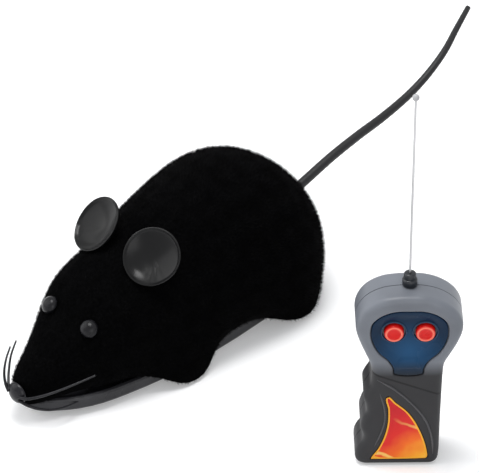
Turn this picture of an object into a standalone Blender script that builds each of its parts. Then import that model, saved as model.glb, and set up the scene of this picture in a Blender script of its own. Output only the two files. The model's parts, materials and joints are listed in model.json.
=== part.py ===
"""Radio mouse cat toy and its hand transmitter, in metres, standing on Z = 0.

The mouse has its nose towards -Y. Its own frame runs back from the nose tip along +Y,
with the mouse's left at +X. The transmitter's frame has its face towards -Y.
"""

import math

import bmesh
import bpy
from mathutils import Matrix, Vector
from mathutils.bvhtree import BVHTree

# Fits that every piece shares
GAP = 0.0003
RUNNING_GAP = 0.00006
OVERRUN = 0.003
SHORT_OVERRUN = 0.001
CORNER_SHARE = 0.3
ROUND_STEPS = 20
FINE_STEPS = 28
EAR_STEPS = 24
SMALL_STEPS = 14
FLAT_ANGLE = math.radians(0.3)
CRISP_EDGES = 35
SOFT_EDGES = 60

# Mouse body
BODY_LENGTH = 0.139
BODY_WIDTH = 0.069
BODY_TOP = 0.0615
SHELL_WALL = 0.0016
NOSE_BULGE = 0.0015
RUMP_BULGE = 0.0015
# Each station: along, top, half width, height of the widest line, rim height, rim half width
# and squareness. Lengths are shares of the body's length, top and half width.
STATION_SHARES = (
    (0.007, 0.285, 0.165, 0.195, 0.125, 0.130, 0.90),
    (0.043, 0.340, 0.250, 0.203, 0.140, 0.210, 0.85),
    (0.094, 0.395, 0.330, 0.228, 0.148, 0.285, 0.80),
    (0.144, 0.450, 0.430, 0.260, 0.155, 0.380, 0.74),
    (0.187, 0.528, 0.525, 0.309, 0.155, 0.470, 0.68),
    (0.230, 0.642, 0.590, 0.341, 0.155, 0.535, 0.68),
    (0.273, 0.715, 0.638, 0.358, 0.150, 0.600, 0.75),
    (0.324, 0.750, 0.680, 0.374, 0.114, 0.735, 0.88),
    (0.367, 0.792, 0.725, 0.374, 0.032, 0.855, 0.95),
    (0.417, 0.840, 0.768, 0.341, 0.018, 0.895, 1.00),
    (0.468, 0.888, 0.812, 0.341, 0.036, 0.872, 1.00),
    (0.518, 0.930, 0.855, 0.358, 0.138, 0.770, 1.00),
    (0.604, 0.980, 0.913, 0.358, 0.155, 0.755, 1.00),
    (0.683, 1.000, 0.971, 0.358, 0.130, 0.800, 1.00),
    (0.741, 0.990, 1.000, 0.358, 0.048, 0.928, 1.00),
    (0.799, 0.956, 1.000, 0.358, 0.018, 0.975, 1.00),
    (0.849, 0.900, 0.957, 0.358, 0.024, 0.942, 1.00),
    (0.892, 0.826, 0.870, 0.358, 0.073, 0.826, 1.00),
    (0.928, 0.744, 0.739, 0.358, 0.130, 0.670, 1.00),
    (0.964, 0.620, 0.536, 0.358, 0.146, 0.478, 1.00),
    (0.993, 0.470, 0.260, 0.341, 0.163, 0.232, 1.00),
)
UPPER_ARC_DEGREES = (0, 30, 60, 90)
LOWER_ARC_DEGREES = (45, 90)

# Chassis tray: along and half width, as shares of the body's length and half width
CHASSIS_SHARES = (
    (0.033, 0.060),
    (0.044, 0.165),
    (0.075, 0.280),
    (0.115, 0.400),
    (0.173, 0.510),
    (0.245, 0.590),
    (0.345, 0.670),
    (0.460, 0.722),
    (0.605, 0.742),
    (0.755, 0.730),
    (0.863, 0.740),
    (0.921, 0.640),
    (0.957, 0.440),
    (0.975, 0.150),
)
CHASSIS_BOTTOM = 0.0025
CHASSIS_TOP = 0.0078
CHASSIS_FLOOR = 0.0016
CHASSIS_WALL = 0.0015
CHASSIS_ROUND = 0.0011
OUTLINE_STEPS = 2

# Battery bay, with two AA cells side by side along the mouse
CELL_RADIUS = 0.0071
CELL_LENGTH = 0.0498
CELL_NUB_RADIUS = 0.0026
CELL_NUB_LENGTH = 0.0009
CELL_ROUND = 0.0006
CONTACT_THICKNESS = 0.0004
CONTACT_WIDTH = 0.0100
CONTACT_HEIGHT = 0.0110
CONTACT_SPRING_LENGTH = 0.0036
CONTACT_SPRING_WIRE = 0.0003
CONTACT_SPRING_WIDE = 0.0042
CONTACT_SPRING_NARROW = 0.0022
CONTACT_SPRING_TURNS = 2.5
CURL_POINTS = 9
BAY_WALL = 0.0015
BAY_FRONT = 0.0380
DOOR_THICKNESS = 0.0015
DOOR_NOSE = 0.0062
DOOR_LUG_WIDTH = 0.0040
DOOR_LUG_HEIGHT = 0.0030
DOOR_LUG_DEPTH = 0.0008
DOOR_GRIP_WIDTH = 0.0090
DOOR_GRIP_HEIGHT = 0.0006
DOOR_GRIP_COUNT = 4

# Self-cutting screws
SCREW_HEAD_RADIUS = 0.0022
SCREW_HEAD_HEIGHT = 0.0014
SCREW_CROWN_SHARE = 0.7
SCREW_SHANK_RADIUS = 0.0011
SCREW_LENGTH = 0.0085
DOOR_SCREW_SHARE = 0.75
SCREW_SLOT_WIDTH = 0.0006
SCREW_SLOT_DEPTH = 0.0008
SCREW_SLOT_LENGTH = 0.0028
SCREW_BOSS_RADIUS = 0.0026
SCREW_POCKET_RADIUS = 0.0033
SCREW_POCKET_HEIGHT = 0.0053
SCREW_LEDGE = 0.0021
FRONT_BOSS_SHARES = (0.574, 0.360)
REAR_BOSS_ACROSS = -0.0105
REAR_BOSS_FROM_RUMP = 0.0102

# Drive: motor, two-stage spur gearing and the rear axle, all turning about X
AXLE_SHARE = 0.7986
AXLE_ALONG = AXLE_SHARE * BODY_LENGTH
AXLE_RADIUS = 0.00125
TYRE_RADIUS = 0.0115
TYRE_WIDTH = 0.0054
TYRE_THICKNESS = 0.0032
TYRE_ROUND = 0.0010
WHEEL_INSET = 0.0060
WHEEL_INNER = BODY_WIDTH / 2 - WHEEL_INSET - TYRE_WIDTH
AXLE_IN_HUB = 0.0050
AXLE_HALF_LENGTH = WHEEL_INNER + AXLE_IN_HUB
HUB_BORE_WALL = 0.0016
HUB_WEB = 0.0014
HUB_RIM = 0.0014
WELL_MARGIN = 0.0014
GEAR_MODULE = 0.0006
ADDENDUM_SHARE = 0.80
DEDENDUM_SHARE = 1.15
TOOTH_TIP_SHARE = 0.11
TOOTH_ROOT_SHARE = 0.29
PINION_TEETH = 8
WHEEL_GEAR_TEETH = 24
SMALL_GEAR_TEETH = 10
AXLE_GEAR_TEETH = 22
MESH_BACKLASH = 0.00015
GEAR_FACE = 0.0030
AXLE_GEAR_FACE = 0.0036
FIRST_STAGE_LEAN = math.radians(60)
SECOND_STAGE_LEAN = math.radians(115)
MOTOR_RADIUS = 0.0100
MOTOR_FLAT = 0.0150
MOTOR_CAN_LENGTH = 0.0215
MOTOR_CAP_LENGTH = 0.0034
MOTOR_ROUND = 0.0006
MOTOR_SHAFT_RADIUS = 0.0010
MOTOR_BOSS_RADIUS = 0.0030
FRAME_PLATE = 0.0014
FRAME_INNER_FACE = 0.0115
FRAME_TOP_MARGIN = 0.0045
FRAME_FOOT = 0.0060
FRAME_MARGIN = 0.0014
GEAR_SIDE_GAP = 0.0005
PIN_RADIUS = 0.0010
BUSH_RADIUS = 0.0023
BUSH_FLANGE_RADIUS = 0.0031
BUSH_FLANGE = 0.0004
POST_WIDTH = 0.0100
POST_TOP_MARGIN = 0.0045

# Castor under the head
CASTOR_ALONG = 0.0205
CASTOR_TRAIL = 0.0030
CASTOR_WHEEL_RADIUS = 0.0055
CASTOR_WHEEL_WIDTH = 0.0040
CASTOR_WHEEL_ROUND = 0.0010
CASTOR_AXLE_RADIUS = 0.0008
CASTOR_ARM = 0.0012
CASTOR_ARM_WIDTH = 0.0044
CASTOR_CROWN = 0.0016
CASTOR_CROWN_RADIUS = 0.0062
CASTOR_PIVOT_RADIUS = 0.0020
CASTOR_SIDE_GAP = 0.0004
CASTOR_SWING = math.radians(40)
STOP_RADIUS = 0.0006
STOP_REACH = 0.0052
STOP_SLOT_STEPS = 6
TOWER_BORE = 0.0093
TOWER_WALL = 0.0013
TOWER_ROOF = 0.0014
PIVOT_BOSS_RADIUS = 0.0040
PIVOT_BOSS_HEIGHT = 0.0040
PIVOT_GROOVE_LENGTH = 0.0010
RETAINER_RADIUS = 0.0032

# Receiver above the bay
BOARD_LENGTH = 0.0420
BOARD_WIDTH = 0.0280
BOARD_THICKNESS = 0.0014
BOARD_POST_HEIGHT = 0.0026
BOARD_POST_RADIUS = 0.0022
BOARD_POST_MARGIN = 0.0035
BOARD_PIN_RADIUS = 0.0008
CHIP_SIZE = (0.0076, 0.0190, 0.0032)
CAPACITOR_RADIUS = 0.0025
CAPACITOR_HEIGHT = 0.0080
CAPACITOR_SHARES = (0.500, -0.667)

# Power switch under the rump
SWITCH_SIZE = (0.0088, 0.0050, 0.0042)
SWITCH_KNOB = (0.0024, 0.0020)
SWITCH_TRAVEL = 0.0025
SWITCH_PROUD = 0.0008
SWITCH_ALONG = BODY_LENGTH - REAR_BOSS_FROM_RUMP
SWITCH_POST = 0.0013

# Head pieces
EAR_SHARES = (0.406, 0.376, 0.823)
EAR_NORMAL = (0.27, -0.65, 0.71)
EAR_RADIUS = 0.0106
EAR_BOWL = 0.0030
EAR_SKIN = 0.0012
EAR_RIM = 0.0009
EAR_BOWL_SHARES = (0.35, 0.62, 0.82)
# The rolled rim's places in from the edge and up, as shares of the rim
EAR_RIM_SHARES = ((1.2, 0.3), (0.6, 1.0), (0.1, 0.7), (0.0, 0.0), (0.3, -0.8))
EAR_NECK_RADIUS = 0.0036
EAR_NECK_SHARE = 1.8
EAR_STEM_RADIUS = 0.0022
EAR_STEM_LENGTH = 0.0140
EYE_SHARES = (0.287, 0.181, 0.511)
EYE_NORMAL = (0.28, -0.67, 0.69)
EYE_RADIUS = 0.0033
EYE_HEIGHT = 0.0026
EYE_DOME_DEGREES = (25, 45, 62, 78)
EYE_FOOT_SHARE = 0.9
EYE_SEAT_SHARES = (0.20, 0.25)
EYE_STEM_RADIUS = 0.0014
EYE_STEM_LENGTH = 0.0060
NOSE_HEIGHT_SHARE = 0.1984
NOSE_HEIGHT = NOSE_HEIGHT_SHARE * BODY_TOP
NOSE_RADIUS = 0.0041
NOSE_REACH = 0.0026
NOSE_DOME_DEGREES = (25, 45, 65, 80)
NOSE_FOOT_SHARE = 0.9
NOSE_STEM_RADIUS = 0.0024
NOSE_STEM_LENGTH = 0.0065
WHISKER_ROOT_RADIUS = 0.00055
WHISKER_TIP_RADIUS = 0.00025
WHISKER_REACH = 0.0200
# Each whisker's places from the nose's middle, as shares of its reach
WHISKER_SHARES = (
    (
        (0.110, -0.140, 0.035),
        (0.300, -0.060, 0.070),
        (0.480, 0.150, 0.120),
        (0.640, 0.380, 0.190),
        (0.800, 0.660, 0.280),
        (0.930, 0.950, 0.370),
    ),
    (
        (0.110, -0.140, -0.040),
        (0.320, -0.010, -0.070),
        (0.510, 0.230, -0.085),
        (0.680, 0.490, -0.040),
        (0.830, 0.760, 0.040),
        (0.920, 0.930, 0.100),
    ),
)
WHISKER_STEPS = 2

# Tail, moulded in soft rubber round its root plug: places behind the rump and over the root
TAIL_REACH = 0.1000
TAIL_HEIGHT_SHARE = 0.426
TAIL_SHARES = (
    (-0.060, -0.013),
    (-0.005, 0.000),
    (0.070, 0.018),
    (0.210, 0.052),
    (0.350, 0.075),
    (0.496, 0.092),
    (0.638, 0.122),
    (0.745, 0.165),
    (0.836, 0.225),
    (0.900, 0.295),
    (0.967, 0.366),
)
TAIL_ROOT_RADIUS = 0.0018
TAIL_TIP_RADIUS = 0.0007
TAIL_TAPER = 1.6
TAIL_STEPS = 3
TAIL_HOLE_REACH = 0.0070

# Transmitter: its outline as shares of its height, up the right side and down the left
REMOTE_HEIGHT = 0.0725
REMOTE_DEPTH = 0.0170
REMOTE_WALL = 0.0016
REMOTE_FRONT_WALL = 0.0028
REMOTE_ROUND = 0.0026
REMOTE_OUTLINE_SHARES = (
    (0.000, 1.000),
    (0.075, 0.996),
    (0.150, 0.970),
    (0.214, 0.920),
    (0.248, 0.857),
    (0.250, 0.796),
    (0.229, 0.728),
    (0.195, 0.657),
    (0.171, 0.607),
    (0.165, 0.560),
    (0.162, 0.440),
    (0.160, 0.290),
    (0.159, 0.140),
    (0.158, 0.066),
    (0.150, 0.026),
    (0.128, 0.004),
    (0.096, 0.000),
    (0.050, 0.000),
    (-0.150, 0.000),
    (-0.198, 0.001),
    (-0.230, 0.018),
    (-0.243, 0.052),
    (-0.233, 0.094),
    (-0.211, 0.131),
    (-0.206, 0.170),
    (-0.220, 0.222),
    (-0.209, 0.274),
    (-0.194, 0.313),
    (-0.198, 0.357),
    (-0.208, 0.403),
    (-0.196, 0.438),
    (-0.176, 0.479),
    (-0.172, 0.546),
    (-0.178, 0.600),
    (-0.205, 0.668),
    (-0.234, 0.743),
    (-0.252, 0.818),
    (-0.239, 0.887),
    (-0.197, 0.946),
    (-0.130, 0.985),
    (-0.062, 0.998),
)
REMOTE_PLACE = (0.1086, 0.0819)
REMOTE_TURN = math.radians(45)
PANEL_SHARES = (
    (0.000, 0.928),
    (0.065, 0.926),
    (0.125, 0.905),
    (0.172, 0.862),
    (0.185, 0.808),
    (0.176, 0.746),
    (0.144, 0.680),
    (0.098, 0.632),
    (0.076, 0.592),
    (0.064, 0.551),
)
PANEL_RECESS = 0.0015
PANEL_THICKNESS = 0.0009
WINDOW_SHARES = (
    (-0.099, 0.422),
    (-0.050, 0.382),
    (0.000, 0.334),
    (0.038, 0.276),
    (0.068, 0.210),
    (0.092, 0.140),
    (0.106, 0.070),
    (0.104, 0.046),
    (0.088, 0.037),
    (-0.160, 0.035),
    (-0.172, 0.040),
    (-0.135, 0.105),
    (-0.108, 0.180),
    (-0.094, 0.260),
    (-0.094, 0.340),
)
WINDOW_RECESS = 0.0007
LABEL_THICKNESS = 0.00025
BUTTON_PLACE_SHARES = (0.074, 0.804)
BUTTON_RADIUS = 0.0033
BUTTON_PROUD = 0.0012
BUTTON_TRAVEL = 0.0008
BUTTON_FLANGE_RADIUS = 0.0042
BUTTON_FLANGE = 0.0009
BUTTON_DOME = 0.0005
BUTTON_CROWN_SHARES = (0.6, 0.3)
BUTTON_POST_RADIUS = 0.0012
BUTTON_BORE_GAP = 0.0002
RING_WIDTH = 0.0004
REMOTE_SWITCH_SIZE = (0.0046, 0.0046, 0.0022)
REMOTE_SWITCH_PLUNGER = (0.0010, 0.0008)
REMOTE_BOARD_THICKNESS = 0.0012
REMOTE_BOARD_TOP_ROOM = 0.0013
REMOTE_BOARD_FOOT_ROOM = 0.0043
REMOTE_BOARD_SIDE_ROOM = 0.0010
REMOTE_SPACER_RADIUS = 0.0016
REMOTE_SPACER_MARGIN = (0.0040, 0.0032)
REMOTE_CELL_RADIUS = 0.0051
REMOTE_CELL_LENGTH = 0.0276
REMOTE_CELL_ACROSS = -0.0015
REMOTE_CELL_DEEP = 0.0012
REMOTE_BAY_BOTTOM = 0.0034
REMOTE_BAY_WALL = 0.0013
REMOTE_DOOR_THICKNESS = 0.0014
REMOTE_DOOR_MARGIN = 0.0012
REMOTE_CONTACT_WIDTH = 0.0080
REMOTE_SPRING_WIDE = 0.0036
REMOTE_UPPER_SCREW_SHARES = (-0.182, 0.775)
REMOTE_LOWER_SCREW_UP_SHARE = 0.272
REMOTE_BOSS_RADIUS = 0.0027
REMOTE_SCREW_SEAT = 0.0045
COLLAR_LOWER = (0.0026, 0.0026)
COLLAR_UPPER = (0.0021, 0.0023)
COLLAR_CROWN_SHARES = (0.90, 0.25)
COLLAR_NECK_RADIUS = 0.0015
COLLAR_FLANGE = (0.0024, 0.0010)
COLLAR_NECK_GAP = 0.0003
ANTENNA_RADIUS = 0.0004
ANTENNA_LENGTH = 0.0717
ANTENNA_SEAT = 0.0030
TIP_RADIUS = 0.0013
TIP_DEGREES = (30, 60, 90, 120, 150)

FINISHES = {
    "flock": ((0.012, 0.012, 0.013), 0.95, 0.0),
    "chassis_plastic": ((0.070, 0.072, 0.078), 0.45, 0.0),
    "soft_rubber": ((0.060, 0.062, 0.068), 0.55, 0.0),
    "tyre_rubber": ((0.020, 0.020, 0.021), 0.80, 0.0),
    "bead": ((0.030, 0.032, 0.040), 0.10, 0.0),
    "steel": ((0.560, 0.560, 0.550), 0.35, 1.0),
    "brass": ((0.720, 0.520, 0.240), 0.35, 1.0),
    "white_plastic": ((0.800, 0.790, 0.750), 0.45, 0.0),
    "cell_wrap": ((0.050, 0.160, 0.090), 0.30, 0.0),
    "board": ((0.060, 0.200, 0.090), 0.50, 0.0),
    "chip": ((0.020, 0.020, 0.022), 0.40, 0.0),
    "remote_plastic": ((0.105, 0.104, 0.112), 0.42, 0.0),
    "panel_plastic": ((0.026, 0.052, 0.080), 0.35, 0.0),
    "button_red": ((0.720, 0.030, 0.022), 0.35, 0.0),
    "label_print": ((0.850, 0.300, 0.050), 0.40, 0.0),
}


def clear_scene():
    for item in list(bpy.data.objects):
        bpy.data.objects.remove(item, do_unlink=True)


def new_collection(name):
    collection = bpy.data.collections.new(name)
    bpy.context.scene.collection.children.link(collection)
    return collection


def material(finish):
    found = bpy.data.materials.get(finish)
    if found:
        return found
    colour, roughness, metallic = FINISHES[finish]
    made = bpy.data.materials.new(finish)
    made.use_nodes = True
    shader = made.node_tree.nodes["Principled BSDF"]
    shader.inputs["Base Color"].default_value = (*colour, 1)
    shader.inputs["Roughness"].default_value = roughness
    shader.inputs["Metallic"].default_value = metallic
    made.diffuse_color = (*colour, 1)
    return made


def empty(name, place, turn=0, parent=None):
    frame = bpy.data.objects.new(name, None)
    parts.objects.link(frame)
    frame.location = place
    frame.rotation_euler = (0, 0, turn)
    frame.parent = parent
    return frame


def add_part(name, mesh, frame, finish, place=(0, 0, 0), turn=(0, 0, 0)):
    part = bpy.data.objects.new(name, mesh)
    parts.objects.link(part)
    part.parent = frame
    part.location = place
    part.rotation_euler = turn
    if mesh.materials:
        mesh.materials[0] = material(finish)
    else:
        mesh.materials.append(material(finish))
    return part


def hidden(mesh, like):
    """A cutter or filler that shares the frame and place of the piece it changes."""
    helper = bpy.data.objects.new(mesh.name, mesh)
    cutters.objects.link(helper)
    helper.parent = like.parent
    helper.location = like.location
    helper.rotation_euler = like.rotation_euler
    helper.hide_render = True
    helper.display_type = "WIRE"
    return helper


def boolean(part, mesh, operation):
    modifier = part.modifiers.new(operation.lower(), "BOOLEAN")
    modifier.operation = operation
    modifier.object = hidden(mesh, part)


def cut(part, mesh):
    boolean(part, mesh, "DIFFERENCE")


def unite(part, mesh):
    boolean(part, mesh, "UNION")


def round_edges(part, width, segments=2, angle=50):
    bevel = part.modifiers.new("rounded", "BEVEL")
    bevel.width = width
    bevel.segments = segments
    bevel.limit_method = "ANGLE"
    bevel.angle_limit = math.radians(angle)


def to_mesh(maker, name):
    maker.normal_update()
    mesh = bpy.data.meshes.new(name)
    maker.to_mesh(mesh)
    maker.free()
    return mesh


def block(low, high):
    """A box between two corners."""
    maker = bmesh.new()
    low = Vector(low)
    high = Vector(high)
    scale = Matrix.Diagonal((high - low).to_4d())
    scale[3][3] = 1
    place = Matrix.Translation((low + high) / 2)
    bmesh.ops.create_cube(maker, size=1, matrix=place @ scale)
    return to_mesh(maker, "block")


def rod(radius, start, end, steps=ROUND_STEPS, end_radius=None):
    """A cylinder or cone between two points."""
    maker = bmesh.new()
    start = Vector(start)
    line = Vector(end) - start
    aim = line.to_track_quat("Z", "Y").to_matrix().to_4x4()
    bmesh.ops.create_cone(
        maker,
        cap_ends=True,
        segments=steps,
        radius1=radius,
        radius2=radius if end_radius is None else end_radius,
        depth=line.length,
        matrix=Matrix.Translation(start + line / 2) @ aim,
    )
    return to_mesh(maker, "rod")


def joined(*meshes):
    """Separate closed shapes held as one mesh."""
    maker = bmesh.new()
    for mesh in meshes:
        maker.from_mesh(mesh)
    return to_mesh(maker, "group")


def moved(mesh, matrix):
    copy = mesh.copy()
    copy.transform(matrix)
    if matrix.determinant() < 0:
        copy.flip_normals()
    return copy


def evaluated_mesh(item, name):
    """The finished mesh of a helper object, which is then removed."""
    bpy.context.view_layer.update()
    graph = bpy.context.evaluated_depsgraph_get()
    mesh = bpy.data.meshes.new_from_object(item.evaluated_get(graph))
    mesh.name = name
    maker = bmesh.new()
    maker.from_mesh(mesh)
    bmesh.ops.remove_doubles(maker, verts=maker.verts, dist=GAP / 100)
    bmesh.ops.recalc_face_normals(maker, faces=maker.faces)
    bmesh.ops.dissolve_limit(maker, angle_limit=FLAT_ANGLE, verts=maker.verts, edges=maker.edges)
    maker.to_mesh(mesh)
    maker.free()
    mesh.transform(item.matrix_world)
    bpy.data.objects.remove(item)
    return mesh


def slab(outline, low, high):
    """A flat outline in X and Y, filled between two heights."""
    curve = bpy.data.curves.new("outline", "CURVE")
    curve.dimensions = "2D"
    curve.fill_mode = "BOTH"
    curve.extrude = (high - low) / 2
    spline = curve.splines.new("POLY")
    spline.points.add(len(outline) - 1)
    for point, (x, y) in zip(spline.points, outline):
        point.co = (x, y, 0, 1)
    spline.use_cyclic_u = True
    holder = bpy.data.objects.new("outline", curve)
    cutters.objects.link(holder)
    holder.location.z = (low + high) / 2
    return evaluated_mesh(holder, "slab")


def tube(route, radii, sides_half, name="tube"):
    """A round strand along a route, with a radius at each point and filled caps."""
    curve = bpy.data.curves.new(name, "CURVE")
    curve.dimensions = "3D"
    curve.bevel_depth = 1
    curve.bevel_resolution = sides_half
    curve.use_fill_caps = True
    spline = curve.splines.new("POLY")
    spline.points.add(len(route) - 1)
    for point, place, radius in zip(spline.points, route, radii):
        point.co = (*place, 1)
        point.radius = radius
    holder = bpy.data.objects.new(name, curve)
    cutters.objects.link(holder)
    return evaluated_mesh(holder, name)


def turned_mesh(profile, steps=ROUND_STEPS):
    """A profile of (radius, height), outer side first from top to bottom, turned about Z."""
    maker = bmesh.new()
    corners = [maker.verts.new((radius, 0, height)) for radius, height in profile]
    for first, second in zip(corners, corners[1:]):
        maker.edges.new((first, second))
    holder = bpy.data.objects.new("profile", to_mesh(maker, "profile"))
    cutters.objects.link(holder)
    screw = holder.modifiers.new("turn", "SCREW")
    screw.steps = steps
    screw.render_steps = steps
    screw.use_merge_vertices = True
    screw.merge_threshold = GAP / 100
    screw.use_smooth_shade = True
    return evaluated_mesh(holder, "turned")


def ring_mesh(profile, steps=ROUND_STEPS):
    """A closed profile of (radius, height) clear of the axis, turned about Z."""
    return turned_mesh(list(profile) + [profile[0]], steps)


def smooth(item, angle=40):
    item.data.shade_smooth()
    item.data.set_sharp_from_angle(angle=math.radians(angle))


def smooth_loop(points, steps):
    """A closed smooth line through the points."""
    count = len(points)
    line = []
    for index in range(count):
        before, start, end, after = (Vector(points[(index + k) % count]) for k in (-1, 0, 1, 2))
        for step in range(steps):
            share = step / steps
            line.append(tuple(between(before, start, end, after, share)))
    return line


def smooth_line(points, steps):
    """An open smooth line through the points."""
    places = [Vector(point) for point in points]
    line = []
    for index in range(len(places) - 1):
        before = places[max(index - 1, 0)]
        after = places[min(index + 2, len(places) - 1)]
        for step in range(steps):
            line.append(tuple(between(before, places[index], places[index + 1], after, step / steps)))
    line.append(tuple(places[-1]))
    return line


def between(before, start, end, after, share):
    """A point on the curve that leaves start along before-end and meets end along start-after."""
    span = (end - start).length
    leave = (end - before).normalized() * span
    arrive = (after - start).normalized() * span
    square = share * share
    cube = square * share
    return (
        start * (2 * cube - 3 * square + 1)
        + leave * (cube - 2 * square + share)
        + end * (3 * square - 2 * cube)
        + arrive * (cube - square)
    )


def inset(outline, distance):
    """The outline drawn in by a distance. The outline runs clockwise or the other way."""
    area = sum(a[0] * b[1] - b[0] * a[1] for a, b in zip(outline, outline[1:] + outline[:1]))
    side = 1 if area > 0 else -1
    drawn = []
    for index, point in enumerate(outline):
        along = Vector(outline[(index + 1) % len(outline)]) - Vector(outline[index - 1])
        along.normalize()
        drawn.append((point[0] - along.y * distance * side, point[1] + along.x * distance * side))
    return drawn


def scaled(shares, size):
    return [(across * size, along * size) for across, along in shares]


def frame_along(normal, place):
    """The matrix that stands a turned piece on a place with its axis along a normal."""
    turn = Vector(normal).normalized().to_track_quat("Z", "Y").to_matrix().to_4x4()
    return Matrix.Translation(place) @ turn


def both_sides(mesh):
    return joined(mesh, moved(mesh, Matrix.Diagonal((-1, 1, 1, 1))))


# The places that several pieces share
CHASSIS_FLOOR_TOP = CHASSIS_BOTTOM + CHASSIS_FLOOR
DOOR_TOP = CHASSIS_BOTTOM + DOOR_THICKNESS
CELL_HEIGHT = DOOR_TOP + GAP + CELL_RADIUS
CELL_PITCH = 2 * CELL_RADIUS + GAP
CELL_TOTAL = CELL_LENGTH + CELL_NUB_LENGTH
BAY_HALF = CELL_PITCH / 2 + CELL_RADIUS + GAP
BAY_LENGTH = CELL_TOTAL + CONTACT_SPRING_LENGTH + 2 * CONTACT_THICKNESS + 4 * GAP
BAY_REAR = BAY_FRONT + BAY_LENGTH
BOARD_ALONG = (BAY_FRONT + BAY_REAR) / 2
BAY_CEILING = CELL_HEIGHT + CELL_RADIUS + GAP
BAY_ROOF = BAY_CEILING + BAY_WALL
FIRST_CENTRES = (PINION_TEETH + WHEEL_GEAR_TEETH) * GEAR_MODULE / 2 + MESH_BACKLASH
SECOND_CENTRES = (SMALL_GEAR_TEETH + AXLE_GEAR_TEETH) * GEAR_MODULE / 2 + MESH_BACKLASH
COMPOUND_ALONG = AXLE_ALONG + SECOND_CENTRES * math.cos(SECOND_STAGE_LEAN)
COMPOUND_HEIGHT = TYRE_RADIUS + SECOND_CENTRES * math.sin(SECOND_STAGE_LEAN)
MOTOR_ALONG = COMPOUND_ALONG + FIRST_CENTRES * math.cos(FIRST_STAGE_LEAN)
MOTOR_HEIGHT = COMPOUND_HEIGHT + FIRST_CENTRES * math.sin(FIRST_STAGE_LEAN)
FIRST_FACE = FRAME_INNER_FACE + FRAME_PLATE + GEAR_SIDE_GAP
SECOND_FACE = FIRST_FACE + GEAR_FACE + GEAR_SIDE_GAP
FRAME_OUTER_FACE = SECOND_FACE + AXLE_GEAR_FACE + GEAR_SIDE_GAP
FRAME_FRONT = BAY_REAR + BAY_WALL + GAP
CASTOR_AXLE_HEIGHT = CASTOR_WHEEL_RADIUS
CROWN_BOTTOM = 2 * CASTOR_WHEEL_RADIUS + CASTOR_SIDE_GAP
CROWN_TOP = CROWN_BOTTOM + CASTOR_CROWN
TOWER_CEILING = CROWN_TOP + GAP
TOWER_TOP = TOWER_CEILING + TOWER_ROOF
PIVOT_BOSS_TOP = TOWER_TOP + PIVOT_BOSS_HEIGHT
BOARD_BOTTOM = BAY_ROOF + BOARD_POST_HEIGHT + GAP
BOARD_TOP = BOARD_BOTTOM + BOARD_THICKNESS
DOOR_SCREW_ALONG = BAY_FRONT - BAY_WALL - SCREW_BOSS_RADIUS + GAP


def station(share_row):
    """Half of one cross-section of the body, from the back's middle line down to the rim."""
    along, top, half, widest, rim, rim_half, squareness = share_row
    y = along * BODY_LENGTH
    crest = top * BODY_TOP
    width = half * BODY_WIDTH / 2
    middle = widest * BODY_TOP
    hem = rim * BODY_TOP
    hem_width = rim_half * BODY_WIDTH / 2
    points = []
    for degrees in UPPER_ARC_DEGREES:
        angle = math.radians(degrees)
        across = width * math.sin(angle) ** squareness
        rise = (crest - middle) * max(math.cos(angle), 0) ** squareness
        points.append((across, y, middle + rise))
    for degrees in LOWER_ARC_DEGREES:
        angle = math.radians(degrees)
        across = hem_width + (width - hem_width) * math.cos(angle)
        points.append((across, y, middle - (middle - hem) * math.sin(angle)))
    return points


def body_cage():
    """The half cage of the body shell, open at the middle plane and along its hem."""
    maker = bmesh.new()
    rows = [[maker.verts.new(point) for point in station(row)] for row in STATION_SHARES]
    for first, second in zip(rows, rows[1:]):
        for corners in zip(first, first[1:], second[1:], second):
            maker.faces.new(corners)
    for row, bulge in ((rows[0], -NOSE_BULGE), (rows[-1], RUMP_BULGE)):
        middle = [maker.verts.new((0, point.co.y + bulge, point.co.z)) for point in row[1:]]
        ends = zip([row[0]] + middle, middle, row[1:], [row[0]] + row[1:])
        for above, below, beside, over in ends:
            maker.faces.new([above, below, beside] if above is over else [above, below, beside, over])
    bmesh.ops.recalc_face_normals(maker, faces=maker.faces)
    return to_mesh(maker, "body_cage")


def on_body(shares, side):
    """A place given as shares of the body's half width, length and top."""
    across, along, up = shares
    return (side * across * BODY_WIDTH / 2, along * BODY_LENGTH, up * BODY_TOP)


def ear_frame(side):
    return frame_along((side * EAR_NORMAL[0], *EAR_NORMAL[1:]), on_body(EAR_SHARES, side))


def eye_frame(side):
    return frame_along((side * EYE_NORMAL[0], *EYE_NORMAL[1:]), on_body(EYE_SHARES, side))


def tail_route():
    """The tail's places along the mouse's middle plane."""
    height = TAIL_HEIGHT_SHARE * BODY_TOP
    return [
        Vector((0, BODY_LENGTH + along * TAIL_REACH, height + up * TAIL_REACH))
        for along, up in TAIL_SHARES
    ]


def tail_frame():
    start, end = tail_route()[1:3]
    return frame_along(end - start, start)


def hole_along(frame, radius, reach):
    return moved(rod(radius, (0, 0, -reach), (0, 0, OVERRUN)), frame)


def skin_of(shell):
    """The shell as it is so far, ready to be measured."""
    bpy.context.view_layer.update()
    return BVHTree.FromObject(shell, bpy.context.evaluated_depsgraph_get())


def under_skin(skin, x, y):
    """The top of a boss at a place, which ends within the lowest part of the wall over it."""
    heights = []
    for step in range(ROUND_STEPS):
        angle = 2 * math.pi * step / ROUND_STEPS
        edge = (x + SCREW_BOSS_RADIUS * math.cos(angle), y + SCREW_BOSS_RADIUS * math.sin(angle))
        hit = skin.ray_cast(Vector((*edge, BODY_TOP + OVERRUN)), Vector((0, 0, -1)))[0]
        heights.append(hit.z)
    return min(heights) - SHELL_WALL / 2


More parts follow.
